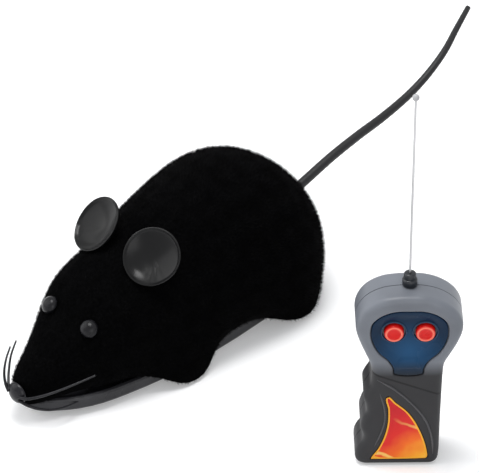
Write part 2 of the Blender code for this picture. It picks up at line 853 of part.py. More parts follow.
def make_body_shell(frame):
    shell = add_part("body_shell", body_cage(), frame, "flock")
    mirror = shell.modifiers.new("other side", "MIRROR")
    mirror.merge_threshold = GAP / 3
    mirror.use_clip = True
    rounded = shell.modifiers.new("soft form", "SUBSURF")
    rounded.levels = 1
    rounded.render_levels = 1
    wall = shell.modifiers.new("wall", "SOLIDIFY")
    wall.thickness = SHELL_WALL
    wall.offset = -1
    foot = CHASSIS_BOTTOM + SCREW_POCKET_HEIGHT + GAP
    skin = skin_of(shell)
    bosses = []
    pilots = []
    for _, x, y in screw_places():
        bosses.append(rod(SCREW_BOSS_RADIUS, (x, y, foot), (x, y, under_skin(skin, x, y))))
        pilots.append(rod(SCREW_SHANK_RADIUS + GAP, (x, y, foot - OVERRUN), (x, y, foot + SCREW_LENGTH)))
    unite(shell, joined(*bosses))
    holes = [
        hole_along(ear_frame(side), EAR_STEM_RADIUS + GAP, EAR_STEM_LENGTH + OVERRUN)
        for side in (-1, 1)
    ]
    holes += [
        hole_along(eye_frame(side), EYE_STEM_RADIUS + GAP, EYE_STEM_LENGTH + OVERRUN)
        for side in (-1, 1)
    ]
    nose_hole = rod(
        NOSE_STEM_RADIUS + GAP,
        (0, -OVERRUN, NOSE_HEIGHT),
        (0, NOSE_STEM_LENGTH, NOSE_HEIGHT),
    )
    tail_hole = moved(
        rod(TAIL_ROOT_RADIUS + GAP, (0, 0, -TAIL_HOLE_REACH), (0, 0, TAIL_HOLE_REACH)),
        tail_frame(),
    )
    cut(shell, joined(*holes, nose_hole, tail_hole, *pilots))
    smooth(shell, SOFT_EDGES)
    return shell


def chassis_outline():
    """The tray's outline, right side from nose to rump and back up the left."""
    right = [(half * BODY_WIDTH / 2, along * BODY_LENGTH) for along, half in CHASSIS_SHARES]
    left = [(-across, along) for across, along in reversed(right)]
    return smooth_loop(right + left, OUTLINE_STEPS)


def screw_places():
    """Each shell screw's name and place."""
    across = FRONT_BOSS_SHARES[0] * BODY_WIDTH / 2
    along = FRONT_BOSS_SHARES[1] * BODY_LENGTH
    return (
        ("front_left", across, along),
        ("front_right", -across, along),
        ("rear", REAR_BOSS_ACROSS, BODY_LENGTH - REAR_BOSS_FROM_RUMP),
    )


def make_chassis(frame):
    outline = chassis_outline()
    chassis = add_part("chassis", slab(outline, CHASSIS_BOTTOM, CHASSIS_TOP), frame, "chassis_plastic")
    round_edges(chassis, CHASSIS_ROUND)
    cut(chassis, slab(inset(outline, CHASSIS_WALL), CHASSIS_FLOOR_TOP, CHASSIS_TOP + OVERRUN))
    middle = CHASSIS_BOTTOM + CHASSIS_FLOOR / 2
    bay = block(
        (-BAY_HALF - BAY_WALL, BAY_FRONT - BAY_WALL, middle),
        (BAY_HALF + BAY_WALL, BAY_REAR + BAY_WALL, BAY_ROOF),
    )
    tower = rod(
        TOWER_BORE + TOWER_WALL,
        (0, CASTOR_ALONG, middle),
        (0, CASTOR_ALONG, TOWER_TOP),
        FINE_STEPS,
    )
    pockets = [
        rod(SCREW_POCKET_RADIUS, (x, y, middle), (x, y, CHASSIS_BOTTOM + SCREW_POCKET_HEIGHT))
        for _, x, y in screw_places()
    ]
    post = block(
        (-FRAME_OUTER_FACE - FRAME_PLATE, AXLE_ALONG - POST_WIDTH / 2, middle),
        (-FRAME_OUTER_FACE, AXLE_ALONG + POST_WIDTH / 2, TYRE_RADIUS + POST_TOP_MARGIN),
    )
    switch_side = SWITCH_SIZE[0] / 2 + GAP
    switch_post = block(
        (switch_side, SWITCH_ALONG - SWITCH_SIZE[1] / 2, middle),
        (
            switch_side + SWITCH_POST,
            SWITCH_ALONG + SWITCH_SIZE[1] / 2,
            CHASSIS_FLOOR_TOP + SWITCH_SIZE[2],
        ),
    )
    unite(chassis, joined(bay, tower, *pockets, post, both_sides(switch_post)))
    pivot_boss = rod(
        PIVOT_BOSS_RADIUS,
        (0, CASTOR_ALONG, TOWER_CEILING + TOWER_ROOF / 2),
        (0, CASTOR_ALONG, PIVOT_BOSS_TOP),
    )
    door_boss = rod(
        SCREW_BOSS_RADIUS,
        (0, DOOR_SCREW_ALONG, DOOR_TOP + GAP),
        (0, DOOR_SCREW_ALONG, DOOR_TOP + GAP + SCREW_LENGTH),
    )
    unite(chassis, joined(pivot_boss, door_boss, *board_posts()))
    opening = block(
        (-BAY_HALF, BAY_FRONT - DOOR_NOSE, CHASSIS_BOTTOM - OVERRUN),
        (BAY_HALF, BAY_REAR, DOOR_TOP + GAP),
    )
    inside = block((-BAY_HALF, BAY_FRONT, CHASSIS_BOTTOM), (BAY_HALF, BAY_REAR, BAY_CEILING))
    cut(chassis, opening)
    cut(chassis, inside)
    cut(chassis, joined(*chassis_holes()))
    cut(chassis, wheel_wells())
    cut(chassis, stop_slot())
    smooth(chassis, CRISP_EDGES)
    return chassis


def board_posts():
    """Posts with a thinner pin through the board, turned as one shape each."""
    foot = BAY_ROOF - BAY_WALL / 2
    step = BAY_ROOF + BOARD_POST_HEIGHT
    profile = (
        (0, BOARD_TOP + BOARD_PIN_RADIUS),
        (BOARD_PIN_RADIUS, BOARD_TOP + BOARD_PIN_RADIUS),
        (BOARD_PIN_RADIUS, step),
        (BOARD_POST_RADIUS, step),
        (BOARD_POST_RADIUS, foot),
        (0, foot),
    )
    post = turned_mesh(profile, ROUND_STEPS // 2)
    return [moved(post, Matrix.Translation((x, y, 0))) for x, y in board_post_places()]


def board_post_places():
    across = BOARD_WIDTH / 2 - BOARD_POST_MARGIN
    along = BOARD_LENGTH / 2 - BOARD_POST_MARGIN
    return [(-across, BOARD_ALONG - along), (across, BOARD_ALONG + along)]


def chassis_holes():
    bore = stepped(
        (0, CASTOR_ALONG),
        (
            (TOWER_BORE, CHASSIS_BOTTOM - OVERRUN, TOWER_CEILING),
            (CASTOR_PIVOT_RADIUS + RUNNING_GAP, TOWER_CEILING, PIVOT_BOSS_TOP + OVERRUN),
        ),
    )
    holes = [bore]
    for _, x, y in screw_places():
        seat = CHASSIS_BOTTOM + SCREW_POCKET_HEIGHT - SCREW_LEDGE
        holes.append(
            stepped(
                (x, y),
                (
                    (SCREW_HEAD_RADIUS + GAP, CHASSIS_BOTTOM - OVERRUN, seat),
                    (SCREW_SHANK_RADIUS + GAP, seat, CHASSIS_BOTTOM + SCREW_POCKET_HEIGHT + OVERRUN),
                ),
            )
        )
    holes.append(
        rod(
            SCREW_SHANK_RADIUS + GAP,
            (0, DOOR_SCREW_ALONG, DOOR_TOP),
            (0, DOOR_SCREW_ALONG, DOOR_TOP + SCREW_LENGTH - CONTACT_THICKNESS),
        )
    )
    bush_hole = rod(
        BUSH_RADIUS + GAP,
        (-FRAME_OUTER_FACE - FRAME_PLATE - OVERRUN, AXLE_ALONG, TYRE_RADIUS),
        (-FRAME_OUTER_FACE + OVERRUN, AXLE_ALONG, TYRE_RADIUS),
    )
    slot = block(
        (
            -SWITCH_KNOB[0] / 2 - SWITCH_TRAVEL / 2 - GAP,
            SWITCH_ALONG - SWITCH_KNOB[1] / 2 - GAP,
            CHASSIS_BOTTOM - OVERRUN,
        ),
        (
            SWITCH_KNOB[0] / 2 + SWITCH_TRAVEL / 2 + GAP,
            SWITCH_ALONG + SWITCH_KNOB[1] / 2 + GAP,
            CHASSIS_FLOOR_TOP + OVERRUN / 2,
        ),
    )
    lug = block(
        (BAY_HALF / 2 - DOOR_LUG_WIDTH / 2 - GAP, BAY_REAR - SHORT_OVERRUN, CHASSIS_BOTTOM - OVERRUN),
        (
            BAY_HALF / 2 + DOOR_LUG_WIDTH / 2 + GAP,
            BAY_REAR + DOOR_LUG_DEPTH + GAP,
            DOOR_TOP + DOOR_LUG_HEIGHT,
        ),
    )
    return holes + [bush_hole, slot, both_sides(lug)]


def stop_slot():
    """The curved slot in the tower's roof that a castor's stop peg swings in."""
    spread = (STOP_RADIUS + RUNNING_GAP) / STOP_REACH
    first = math.pi / 2 - spread
    sweep = CASTOR_SWING + 2 * spread
    outline = []
    for reach in (STOP_REACH + STOP_RADIUS + GAP, STOP_REACH - STOP_RADIUS - GAP):
        arc = [first + sweep * index / STOP_SLOT_STEPS for index in range(STOP_SLOT_STEPS + 1)]
        if outline:
            arc.reverse()
        outline += [(reach * math.cos(angle), CASTOR_ALONG + reach * math.sin(angle)) for angle in arc]
    return slab(outline, TOWER_CEILING - SHORT_OVERRUN, TOWER_TOP + SHORT_OVERRUN)


def stepped(place, runs):
    """A stepped round cutter along Z from runs of (radius, low, high), lowest first."""
    profile = [(0, runs[-1][2])]
    for radius, low, high in reversed(runs):
        profile += [(radius, high), (radius, low)]
    profile.append((0, runs[0][1]))
    return moved(turned_mesh(profile), Matrix.Translation((*place, 0)))


def wheel_wells():
    reach = TYRE_RADIUS + WELL_MARGIN
    well = block(
        (WHEEL_INNER - GAP * 2, AXLE_ALONG - reach, CHASSIS_BOTTOM - OVERRUN),
        (BODY_WIDTH / 2, AXLE_ALONG + reach, CHASSIS_TOP + OVERRUN),
    )
    return both_sides(well)


def make_battery_door(frame):
    low = (-BAY_HALF + GAP, BAY_FRONT - DOOR_NOSE + GAP, CHASSIS_BOTTOM)
    high = (BAY_HALF - GAP, BAY_REAR - GAP, DOOR_TOP)
    door = add_part("battery_door", block(low, high), frame, "chassis_plastic")
    lug = block(
        (
            BAY_HALF / 2 - DOOR_LUG_WIDTH / 2,
            BAY_REAR - DOOR_LUG_WIDTH / 2,
            CHASSIS_BOTTOM + DOOR_THICKNESS / 3,
        ),
        (
            BAY_HALF / 2 + DOOR_LUG_WIDTH / 2,
            BAY_REAR + DOOR_LUG_DEPTH,
            CHASSIS_BOTTOM + DOOR_THICKNESS / 3 * 2,
        ),
    )
    unite(door, both_sides(lug))
    grips = []
    for index in range(DOOR_GRIP_COUNT):
        along = BAY_REAR - (index + 2) * DOOR_LUG_WIDTH / 2
        grips.append(
            block(
                (-DOOR_GRIP_WIDTH / 2, along, CHASSIS_BOTTOM - OVERRUN),
                (DOOR_GRIP_WIDTH / 2, along + DOOR_LUG_DEPTH, CHASSIS_BOTTOM + DOOR_GRIP_HEIGHT),
            )
        )
    seat = CHASSIS_BOTTOM + SCREW_HEAD_HEIGHT / 2
    hole = stepped(
        (0, DOOR_SCREW_ALONG),
        (
            (SCREW_HEAD_RADIUS + GAP, CHASSIS_BOTTOM - OVERRUN, seat),
            (SCREW_SHANK_RADIUS + GAP, seat, DOOR_TOP + OVERRUN),
        ),
    )
    cut(door, joined(hole, *grips))
    return door


def screw_mesh():
    """A cross-slotted screw pointing up, with its head's seat at Z = 0."""
    profile = (
        (0, SCREW_LENGTH),
        (SCREW_SHANK_RADIUS / 2, SCREW_LENGTH),
        (SCREW_SHANK_RADIUS, SCREW_LENGTH - SCREW_SHANK_RADIUS),
        (SCREW_SHANK_RADIUS, 0),
        (SCREW_HEAD_RADIUS, 0),
        (SCREW_HEAD_RADIUS, -SCREW_HEAD_HEIGHT / 2),
        (SCREW_HEAD_RADIUS * SCREW_CROWN_SHARE, -SCREW_HEAD_HEIGHT),
        (0, -SCREW_HEAD_HEIGHT),
    )
    holder = bpy.data.objects.new("screw", turned_mesh(profile, ROUND_STEPS // 2))
    cutters.objects.link(holder)
    holder.hide_render = True
    half = SCREW_SLOT_LENGTH / 2
    width = SCREW_SLOT_WIDTH / 2
    floor = -SCREW_HEAD_HEIGHT + SCREW_SLOT_DEPTH
    below = -SCREW_HEAD_HEIGHT - OVERRUN
    cut(holder, block((-half, -width, below), (half, width, floor)))
    cut(holder, block((-width, -half, below), (width, half, floor)))
    return evaluated_mesh(holder, "screw")


def make_screws(frame):
    screw = screw_mesh()
    seat = CHASSIS_BOTTOM + SCREW_POCKET_HEIGHT - SCREW_LEDGE - RUNNING_GAP
    for name, x, y in screw_places():
        add_part("shell_screw_" + name, moved(screw, Matrix.Translation((x, y, seat))), frame, "steel")
    seat = CHASSIS_BOTTOM + SCREW_HEAD_HEIGHT / 2 - RUNNING_GAP
    short = moved(screw, Matrix.Diagonal((1, 1, DOOR_SCREW_SHARE, 1)))
    add_part("door_screw", moved(short, Matrix.Translation((0, DOOR_SCREW_ALONG, seat))), frame, "steel")


def cell_mesh(radius, length, nub_radius, nub_length):
    """A round cell lying along +Y from its flat end to its nub."""
    bevel = CELL_ROUND
    profile = (
        (0, length + nub_length),
        (nub_radius, length + nub_length),
        (nub_radius, length),
        (radius - bevel, length),
        (radius, length - bevel),
        (radius, bevel),
        (radius - bevel, 0),
        (0, 0),
    )
    return turned_mesh(profile)


def spring_mesh(wide, narrow, length, wire, turns):
    """A cone-shaped contact spring along Z with its wide end at Z = 0, sunk by half its wire."""
    count = round(turns * CURL_POINTS)
    route = []
    for index in range(count + 1):
        share = index / count
        angle = 2 * math.pi * turns * share
        radius = wide + (narrow - wide) * share
        route.append(
            (radius * math.cos(angle), radius * math.sin(angle), wire + share * (length - 1.5 * wire)),
        )
    print("contact spring: least gap to itself", round((length - 2 * wire) / turns - 2 * wire, 5))
    return tube(route, [wire] * len(route), 1, "spring")


def spring_contact(name, plate, spring, frame):
    """A contact plate with the coil that is riveted to it."""
    part = add_part(name, plate, frame, "steel")
    unite(part, spring)


def make_cells(frame):
    cell = cell_mesh(CELL_RADIUS, CELL_LENGTH, CELL_NUB_RADIUS, CELL_NUB_LENGTH)
    spring = spring_mesh(
        CONTACT_SPRING_WIDE,
        CONTACT_SPRING_NARROW,
        CONTACT_SPRING_LENGTH,
        CONTACT_SPRING_WIRE,
        CONTACT_SPRING_TURNS,
    )
    back = Matrix.Rotation(-math.pi / 2, 4, "X")
    front = Matrix.Rotation(math.pi / 2, 4, "X")
    half = CELL_PITCH / 2
    contact = CONTACT_THICKNESS + GAP
    front_face = BAY_FRONT + contact
    rear_face = BAY_REAR - contact
    left = Matrix.Translation((half, front_face + CONTACT_SPRING_LENGTH + GAP, CELL_HEIGHT)) @ back
    right = Matrix.Translation((-half, rear_face - CONTACT_SPRING_LENGTH - GAP, CELL_HEIGHT)) @ front
    add_part("battery_cell_left", moved(cell, left), frame, "cell_wrap")
    add_part("battery_cell_right", moved(cell, right), frame, "cell_wrap")
    low = CELL_HEIGHT - CONTACT_HEIGHT / 2
    high = CELL_HEIGHT + CONTACT_HEIGHT / 2
    side = CONTACT_WIDTH / 2
    plates = [
        block((middle - side, BAY_FRONT + GAP, low), (middle + side, front_face, high))
        for middle in (half, -half)
    ]
    bridge = block((-half - side, rear_face, low), (half + side, BAY_REAR - GAP, high))
    sink = CONTACT_SPRING_WIRE / 2
    left = Matrix.Translation((half, front_face - sink, CELL_HEIGHT)) @ back
    right = Matrix.Translation((-half, rear_face + sink, CELL_HEIGHT)) @ front
    spring_contact("spring_contact", plates[0], moved(spring, left), frame)
    add_part("plate_contact", plates[1], frame, "steel")
    spring_contact("bridge_contact", bridge, moved(spring, right), frame)


def gear_outline(teeth, toward, gap_there=False):
    """A spur gear's outline with a tooth, or a gap, towards a lean angle of the gear train."""
    pitch = 2 * math.pi / teeth
    start = toward + math.pi / 2 + (pitch / 2 if gap_there else 0)
    root = (teeth / 2 - DEDENDUM_SHARE) * GEAR_MODULE
    tip = (teeth / 2 + ADDENDUM_SHARE) * GEAR_MODULE
    points = []
    for index in range(teeth):
        for radius, share in (
            (root, -TOOTH_ROOT_SHARE),
            (tip, -TOOTH_TIP_SHARE),
            (tip, TOOTH_TIP_SHARE),
            (root, TOOTH_ROOT_SHARE),
        ):
            angle = start + (index + share) * pitch
            points.append((radius * math.cos(angle), radius * math.sin(angle)))
    return points


def pin_frame(name, frame, along, height):
    """An empty on a joint's line, which the pieces that turn there hang from."""
    return empty(name, (0, along, height), 0, frame)


def bored(part, radius, reach):
    """A bore along X through a piece whose frame is on its axis."""
    cut(part, rod(radius, (-reach, 0, 0), (reach, 0, 0)))


def on_axis(mesh, across):
    return moved(mesh, Matrix.Translation((across, 0, 0)) @ Matrix.Rotation(math.pi / 2, 4, "Y"))


def make_drive(frame):
    axle_line = pin_frame("rear_axle_line", frame, AXLE_ALONG, TYRE_RADIUS)
    compound_line = pin_frame("compound_gear_line", frame, COMPOUND_ALONG, COMPOUND_HEIGHT)
    motor_line = pin_frame("motor_line", frame, MOTOR_ALONG, MOTOR_HEIGHT)
    reach = AXLE_HALF_LENGTH + OVERRUN
    axle = add_part(
        "rear_axle",
        rod(AXLE_RADIUS, (-AXLE_HALF_LENGTH, 0, 0), (AXLE_HALF_LENGTH, 0, 0)),
        axle_line,
        "steel",
    )
    smooth(axle)
    gear = add_part(
        "axle_gear",
        on_axis(
            slab(
                gear_outline(AXLE_GEAR_TEETH, SECOND_STAGE_LEAN, True),
                SECOND_FACE,
                SECOND_FACE + AXLE_GEAR_FACE,
            ),
            0,
        ),
        axle_line,
        "white_plastic",
    )
    bored(gear, AXLE_RADIUS + RUNNING_GAP, reach)
    wheel = on_axis(
        slab(gear_outline(WHEEL_GEAR_TEETH, FIRST_STAGE_LEAN, True), FIRST_FACE, FIRST_FACE + GEAR_FACE),
        0,
    )
    small = on_axis(
        slab(
            gear_outline(SMALL_GEAR_TEETH, SECOND_STAGE_LEAN + math.pi),
            FIRST_FACE + GEAR_FACE / 2,
            SECOND_FACE + AXLE_GEAR_FACE,
        ),
        0,
    )
    compound = add_part("compound_gear", wheel, compound_line, "white_plastic")
    unite(compound, small)
    bored(compound, PIN_RADIUS + RUNNING_GAP, reach)
    pin = rod(PIN_RADIUS, (FRAME_INNER_FACE, 0, 0), (FRAME_OUTER_FACE + FRAME_PLATE, 0, 0))
    add_part("gear_pin", pin, compound_line, "steel")
    make_motor(motor_line)
    for side, name in ((1, "left"), (-1, "right")):
        make_wheel(axle_line, side, name)
    make_gearbox_frame(frame)
    make_bushes(axle_line)


def make_motor(line):
    face = FRAME_INNER_FACE - GAP
    can = rod(MOTOR_RADIUS, (face - MOTOR_CAN_LENGTH, 0, 0), (face, 0, 0), FINE_STEPS)
    part = add_part("motor_can", can, line, "steel")
    sides = block(
        (face - MOTOR_CAN_LENGTH - OVERRUN, MOTOR_FLAT / 2, -MOTOR_RADIUS - OVERRUN),
        (face + OVERRUN, MOTOR_RADIUS + OVERRUN, MOTOR_RADIUS + OVERRUN),
    )
    lift = Matrix.Rotation(math.pi / 2, 4, "X")
    cut(part, joined(moved(sides, lift), moved(sides, lift @ Matrix.Rotation(math.pi, 4, "X"))))
    round_edges(part, MOTOR_ROUND)
    bored(part, MOTOR_SHAFT_RADIUS + GAP, MOTOR_CAN_LENGTH * 2)
    smooth(part, CRISP_EDGES)
    cap_low = face - MOTOR_CAN_LENGTH - GAP - MOTOR_CAP_LENGTH
    cap = add_part(
        "motor_end_cap",
        rod(
            MOTOR_RADIUS - MOTOR_ROUND * 2,
            (cap_low, 0, 0),
            (cap_low + MOTOR_CAP_LENGTH, 0, 0),
            FINE_STEPS,
        ),
        line,
        "white_plastic",
    )
    cap_sides = block(
        (cap_low - OVERRUN, -MOTOR_RADIUS, MOTOR_FLAT / 2 - MOTOR_ROUND),
        (cap_low + MOTOR_CAP_LENGTH + OVERRUN, MOTOR_RADIUS, MOTOR_RADIUS + OVERRUN),
    )
    cut(cap, joined(cap_sides, moved(cap_sides, Matrix.Rotation(math.pi, 4, "X"))))
    bored(cap, MOTOR_SHAFT_RADIUS + GAP, MOTOR_CAN_LENGTH * 2)
    smooth(cap, CRISP_EDGES)
    shaft = rod(MOTOR_SHAFT_RADIUS, (cap_low, 0, 0), (FIRST_FACE + GEAR_FACE, 0, 0))
    add_part("motor_shaft", shaft, line, "steel")
    pinion = add_part(
        "motor_pinion",
        on_axis(
            slab(
                gear_outline(PINION_TEETH, FIRST_STAGE_LEAN + math.pi),
                FIRST_FACE,
                FIRST_FACE + GEAR_FACE,
            ),
            0,
        ),
        line,
        "brass",
    )
    bored(pinion, MOTOR_SHAFT_RADIUS + RUNNING_GAP, MOTOR_CAN_LENGTH * 2)


def make_wheel(line, side, name):
    hub_radius = TYRE_RADIUS - TYRE_THICKNESS - GAP
    bore = AXLE_RADIUS + RUNNING_GAP
    inner = -TYRE_WIDTH / 2
    outer = TYRE_WIDTH / 2
    web = HUB_WEB / 2
    hub = ring_mesh(
        (
            (bore, outer - HUB_RIM),
            (bore + HUB_BORE_WALL, outer - HUB_RIM),
            (bore + HUB_BORE_WALL, web),
            (hub_radius - HUB_RIM, web),
            (hub_radius - HUB_RIM, outer - HUB_RIM / 2),
            (hub_radius, outer - HUB_RIM / 2),
            (hub_radius, inner),
            (hub_radius - HUB_RIM, inner),
            (hub_radius - HUB_RIM, -web),
            (bore + HUB_BORE_WALL, -web),
            (bore + HUB_BORE_WALL, inner),
            (bore, inner),
        )
    )
    inside = TYRE_RADIUS - TYRE_THICKNESS
    corner = TYRE_ROUND * CORNER_SHARE
    tyre = ring_mesh(
        (
            (inside, outer),
            (TYRE_RADIUS - TYRE_ROUND, outer),
            (TYRE_RADIUS - corner, outer - corner),
            (TYRE_RADIUS, outer - TYRE_ROUND),
            (TYRE_RADIUS, inner + TYRE_ROUND),
            (TYRE_RADIUS - corner, inner + corner),
            (TYRE_RADIUS - TYRE_ROUND, inner),
            (inside, inner),
        ),
        FINE_STEPS * 6 // 5,
    )
    middle = side * (WHEEL_INNER + TYRE_WIDTH / 2)
    turn = (0, side * math.pi / 2, 0)
    smooth(add_part("wheel_hub_" + name, hub, line, "chassis_plastic", (middle, 0, 0), turn))
    smooth(add_part("tyre_" + name, tyre, line, "tyre_rubber", (middle, 0, 0), turn))


def make_gearbox_frame(frame):
    """Two side plates and two cross walls, open above and below the gears."""
    rear = AXLE_ALONG + (AXLE_GEAR_TEETH / 2 + ADDENDUM_SHARE) * GEAR_MODULE + FRAME_MARGIN
    top = MOTOR_HEIGHT + FRAME_TOP_MARGIN
    bottom = CHASSIS_FLOOR_TOP + GAP
    box = block(
        (FRAME_INNER_FACE, FRAME_FRONT, bottom),
        (FRAME_OUTER_FACE + FRAME_PLATE, rear + FRAME_PLATE, top),
    )
    part = add_part("gearbox_frame", box, frame, "white_plastic")
    cut(
        part,
        block(
            (FRAME_INNER_FACE + FRAME_PLATE, FRAME_FRONT + FRAME_PLATE, bottom - OVERRUN),
            (FRAME_OUTER_FACE, rear, top + OVERRUN),
        ),
    )
    foot = block(
        (FRAME_INNER_FACE - FRAME_FOOT, FRAME_FRONT + FRAME_PLATE, bottom),
        (
            FRAME_INNER_FACE + FRAME_PLATE / 2,
            FRAME_FRONT + FRAME_PLATE + FRAME_FOOT,
            bottom + FRAME_PLATE,
        ),
    )
    unite(part, foot)
    out = FRAME_OUTER_FACE + FRAME_PLATE + OVERRUN
    axle_hole = rod(
        BUSH_RADIUS + GAP,
        (FRAME_INNER_FACE - OVERRUN, AXLE_ALONG, TYRE_RADIUS),
        (out, AXLE_ALONG, TYRE_RADIUS),
    )
    pin_hole = rod(
        PIN_RADIUS + RUNNING_GAP,
        (FRAME_INNER_FACE - OVERRUN, COMPOUND_ALONG, COMPOUND_HEIGHT),
        (out, COMPOUND_ALONG, COMPOUND_HEIGHT),
    )
    shaft_hole = rod(
        MOTOR_BOSS_RADIUS + GAP,
        (FRAME_INNER_FACE - OVERRUN, MOTOR_ALONG, MOTOR_HEIGHT),
        (FRAME_INNER_FACE + FRAME_PLATE + OVERRUN, MOTOR_ALONG, MOTOR_HEIGHT),
    )
    cut(part, joined(axle_hole, pin_hole, shaft_hole))


def make_bushes(line):
    bore = AXLE_RADIUS + RUNNING_GAP
    bush = ring_mesh(
        (
            (bore, FRAME_PLATE + BUSH_FLANGE),
            (BUSH_FLANGE_RADIUS, FRAME_PLATE + BUSH_FLANGE),
            (BUSH_FLANGE_RADIUS, FRAME_PLATE + RUNNING_GAP),
            (BUSH_RADIUS, FRAME_PLATE + RUNNING_GAP),
            (BUSH_RADIUS, 0),
            (bore, 0),
        ),
        SMALL_STEPS,
    )
    left = on_axis(bush, FRAME_OUTER_FACE)
    right = moved(left, Matrix.Diagonal((-1, 1, 1, 1)))
    smooth(add_part("axle_bush_left", left, line, "brass"))
    smooth(add_part("axle_bush_right", right, line, "brass"))


def make_castor(frame):
    pivot = empty("castor_pivot_line", (0, CASTOR_ALONG, 0), 0, frame)
    wheel_line = empty("castor_wheel_line", (0, CASTOR_TRAIL, CASTOR_AXLE_HEIGHT), 0, pivot)
    half = CASTOR_WHEEL_WIDTH / 2
    arm_in = half + CASTOR_SIDE_GAP
    arm_out = arm_in + CASTOR_ARM
    neck_top = PIVOT_BOSS_TOP + GAP
    fork_profile = (
        (0, neck_top + PIVOT_GROOVE_LENGTH),
        (SCREW_BOSS_RADIUS / 2, neck_top + PIVOT_GROOVE_LENGTH),
        (SCREW_BOSS_RADIUS / 2, neck_top),
        (CASTOR_PIVOT_RADIUS, neck_top),
        (CASTOR_PIVOT_RADIUS, CROWN_TOP),
        (CASTOR_CROWN_RADIUS, CROWN_TOP),
        (CASTOR_CROWN_RADIUS, CROWN_BOTTOM),
        (0, CROWN_BOTTOM),
    )
    fork = add_part("castor_fork", turned_mesh(fork_profile), pivot, "white_plastic")
    arm = block(
        (arm_in, CASTOR_TRAIL - CASTOR_ARM_WIDTH / 2, CASTOR_AXLE_HEIGHT - CASTOR_ARM_WIDTH / 2),
        (arm_out, CASTOR_TRAIL + CASTOR_ARM_WIDTH / 2, CROWN_TOP - CASTOR_CROWN / 2),
    )
    unite(fork, both_sides(arm))
    unite(
        fork,
        rod(
            STOP_RADIUS,
            (0, STOP_REACH, CROWN_TOP - CASTOR_CROWN / 2),
            (0, STOP_REACH, TOWER_TOP),
            SMALL_STEPS,
        ),
    )
    cut(
        fork,
        rod(
            CASTOR_AXLE_RADIUS + RUNNING_GAP,
            (-arm_out - OVERRUN, CASTOR_TRAIL, CASTOR_AXLE_HEIGHT),
            (arm_out + OVERRUN, CASTOR_TRAIL, CASTOR_AXLE_HEIGHT),
            ROUND_STEPS // 2,
        ),
    )
    bore = CASTOR_AXLE_RADIUS + RUNNING_GAP
    wheel = ring_mesh(
        (
            (bore, half),
            (CASTOR_WHEEL_RADIUS - CASTOR_WHEEL_ROUND, half),
            (CASTOR_WHEEL_RADIUS, half - CASTOR_WHEEL_ROUND),
            (CASTOR_WHEEL_RADIUS, -half + CASTOR_WHEEL_ROUND),
            (CASTOR_WHEEL_RADIUS - CASTOR_WHEEL_ROUND, -half),
            (bore, -half),
        )
    )
    smooth(add_part("castor_wheel", on_axis(wheel, 0), wheel_line, "tyre_rubber"))
    axle = rod(CASTOR_AXLE_RADIUS, (-arm_out, 0, 0), (arm_out, 0, 0), ROUND_STEPS // 2)
    add_part("castor_axle", axle, wheel_line, "steel")
    low = neck_top
    retainer = ring_mesh(
        (
            (SCREW_BOSS_RADIUS / 2 + RUNNING_GAP, low + PIVOT_GROOVE_LENGTH),
            (RETAINER_RADIUS, low + PIVOT_GROOVE_LENGTH),
            (RETAINER_RADIUS, low + RUNNING_GAP),
            (SCREW_BOSS_RADIUS / 2 + RUNNING_GAP, low + RUNNING_GAP),
        ),
        SMALL_STEPS,
    )
    add_part("castor_retainer", retainer, pivot, "steel")


def make_receiver(frame):
    half = (BOARD_WIDTH / 2, BOARD_LENGTH / 2)
    board = add_part(
        "receiver_board",
        block(
            (-half[0], BOARD_ALONG - half[1], BOARD_BOTTOM),
            (half[0], BOARD_ALONG + half[1], BOARD_TOP),
        ),
        frame,
        "board",
    )
    cut(
        board,
        joined(
            *(
                rod(
                    BOARD_PIN_RADIUS + GAP,
                    (x, y, BOARD_BOTTOM - SHORT_OVERRUN),
                    (x, y, BOARD_TOP + OVERRUN),
                )
                for x, y in board_post_places()
            )
        ),
    )
    floor = BOARD_TOP + GAP

    size = CHIP_SIZE
    chip = block(
        (-size[0] / 2, BOARD_ALONG - size[1] / 2, floor), (
            size[0] / 2,
            BOARD_ALONG + size[1] / 2,
            floor + size[2],
        )
    )
    round_edges(add_part("receiver_chip", chip, frame, "chip"), GAP, 1)
    capacitor = rod(
        CAPACITOR_RADIUS,
        (half[0] * CAPACITOR_SHARES[0], BOARD_ALONG + half[1] * CAPACITOR_SHARES[1], floor),
        (
            half[0] * CAPACITOR_SHARES[0],
            BOARD_ALONG + half[1] * CAPACITOR_SHARES[1],
            floor + CAPACITOR_HEIGHT,
        ),
    )
    smooth(add_part("smoothing_capacitor", capacitor, frame, "chip"))


def make_switch(frame):
    floor = CHASSIS_FLOOR_TOP + GAP
    body = add_part(
        "switch_body",
        block(
            (-SWITCH_SIZE[0] / 2, SWITCH_ALONG - SWITCH_SIZE[1] / 2, floor),
            (SWITCH_SIZE[0] / 2, SWITCH_ALONG + SWITCH_SIZE[1] / 2, floor + SWITCH_SIZE[2]),
        ),
        frame,
        "steel",
    )
    hollow = SWITCH_SIZE[2] / 2
    reach = SWITCH_KNOB[0] / 2 + SWITCH_TRAVEL / 2 + GAP
    cut(
        body,
        block(
            (-reach, SWITCH_ALONG - SWITCH_KNOB[1] / 2 - GAP, floor - OVERRUN),
            (reach, SWITCH_ALONG + SWITCH_KNOB[1] / 2 + GAP, floor + hollow),
        ),
    )
    slider_line = empty("switch_line", (-SWITCH_TRAVEL / 2, SWITCH_ALONG, floor), 0, frame)
    slider = block(
        (-SWITCH_KNOB[0] / 2, -SWITCH_KNOB[1] / 2, CHASSIS_BOTTOM - SWITCH_PROUD - floor),
        (SWITCH_KNOB[0] / 2, SWITCH_KNOB[1] / 2, hollow - GAP),
    )
    add_part("switch_slider", slider, slider_line, "white_plastic")


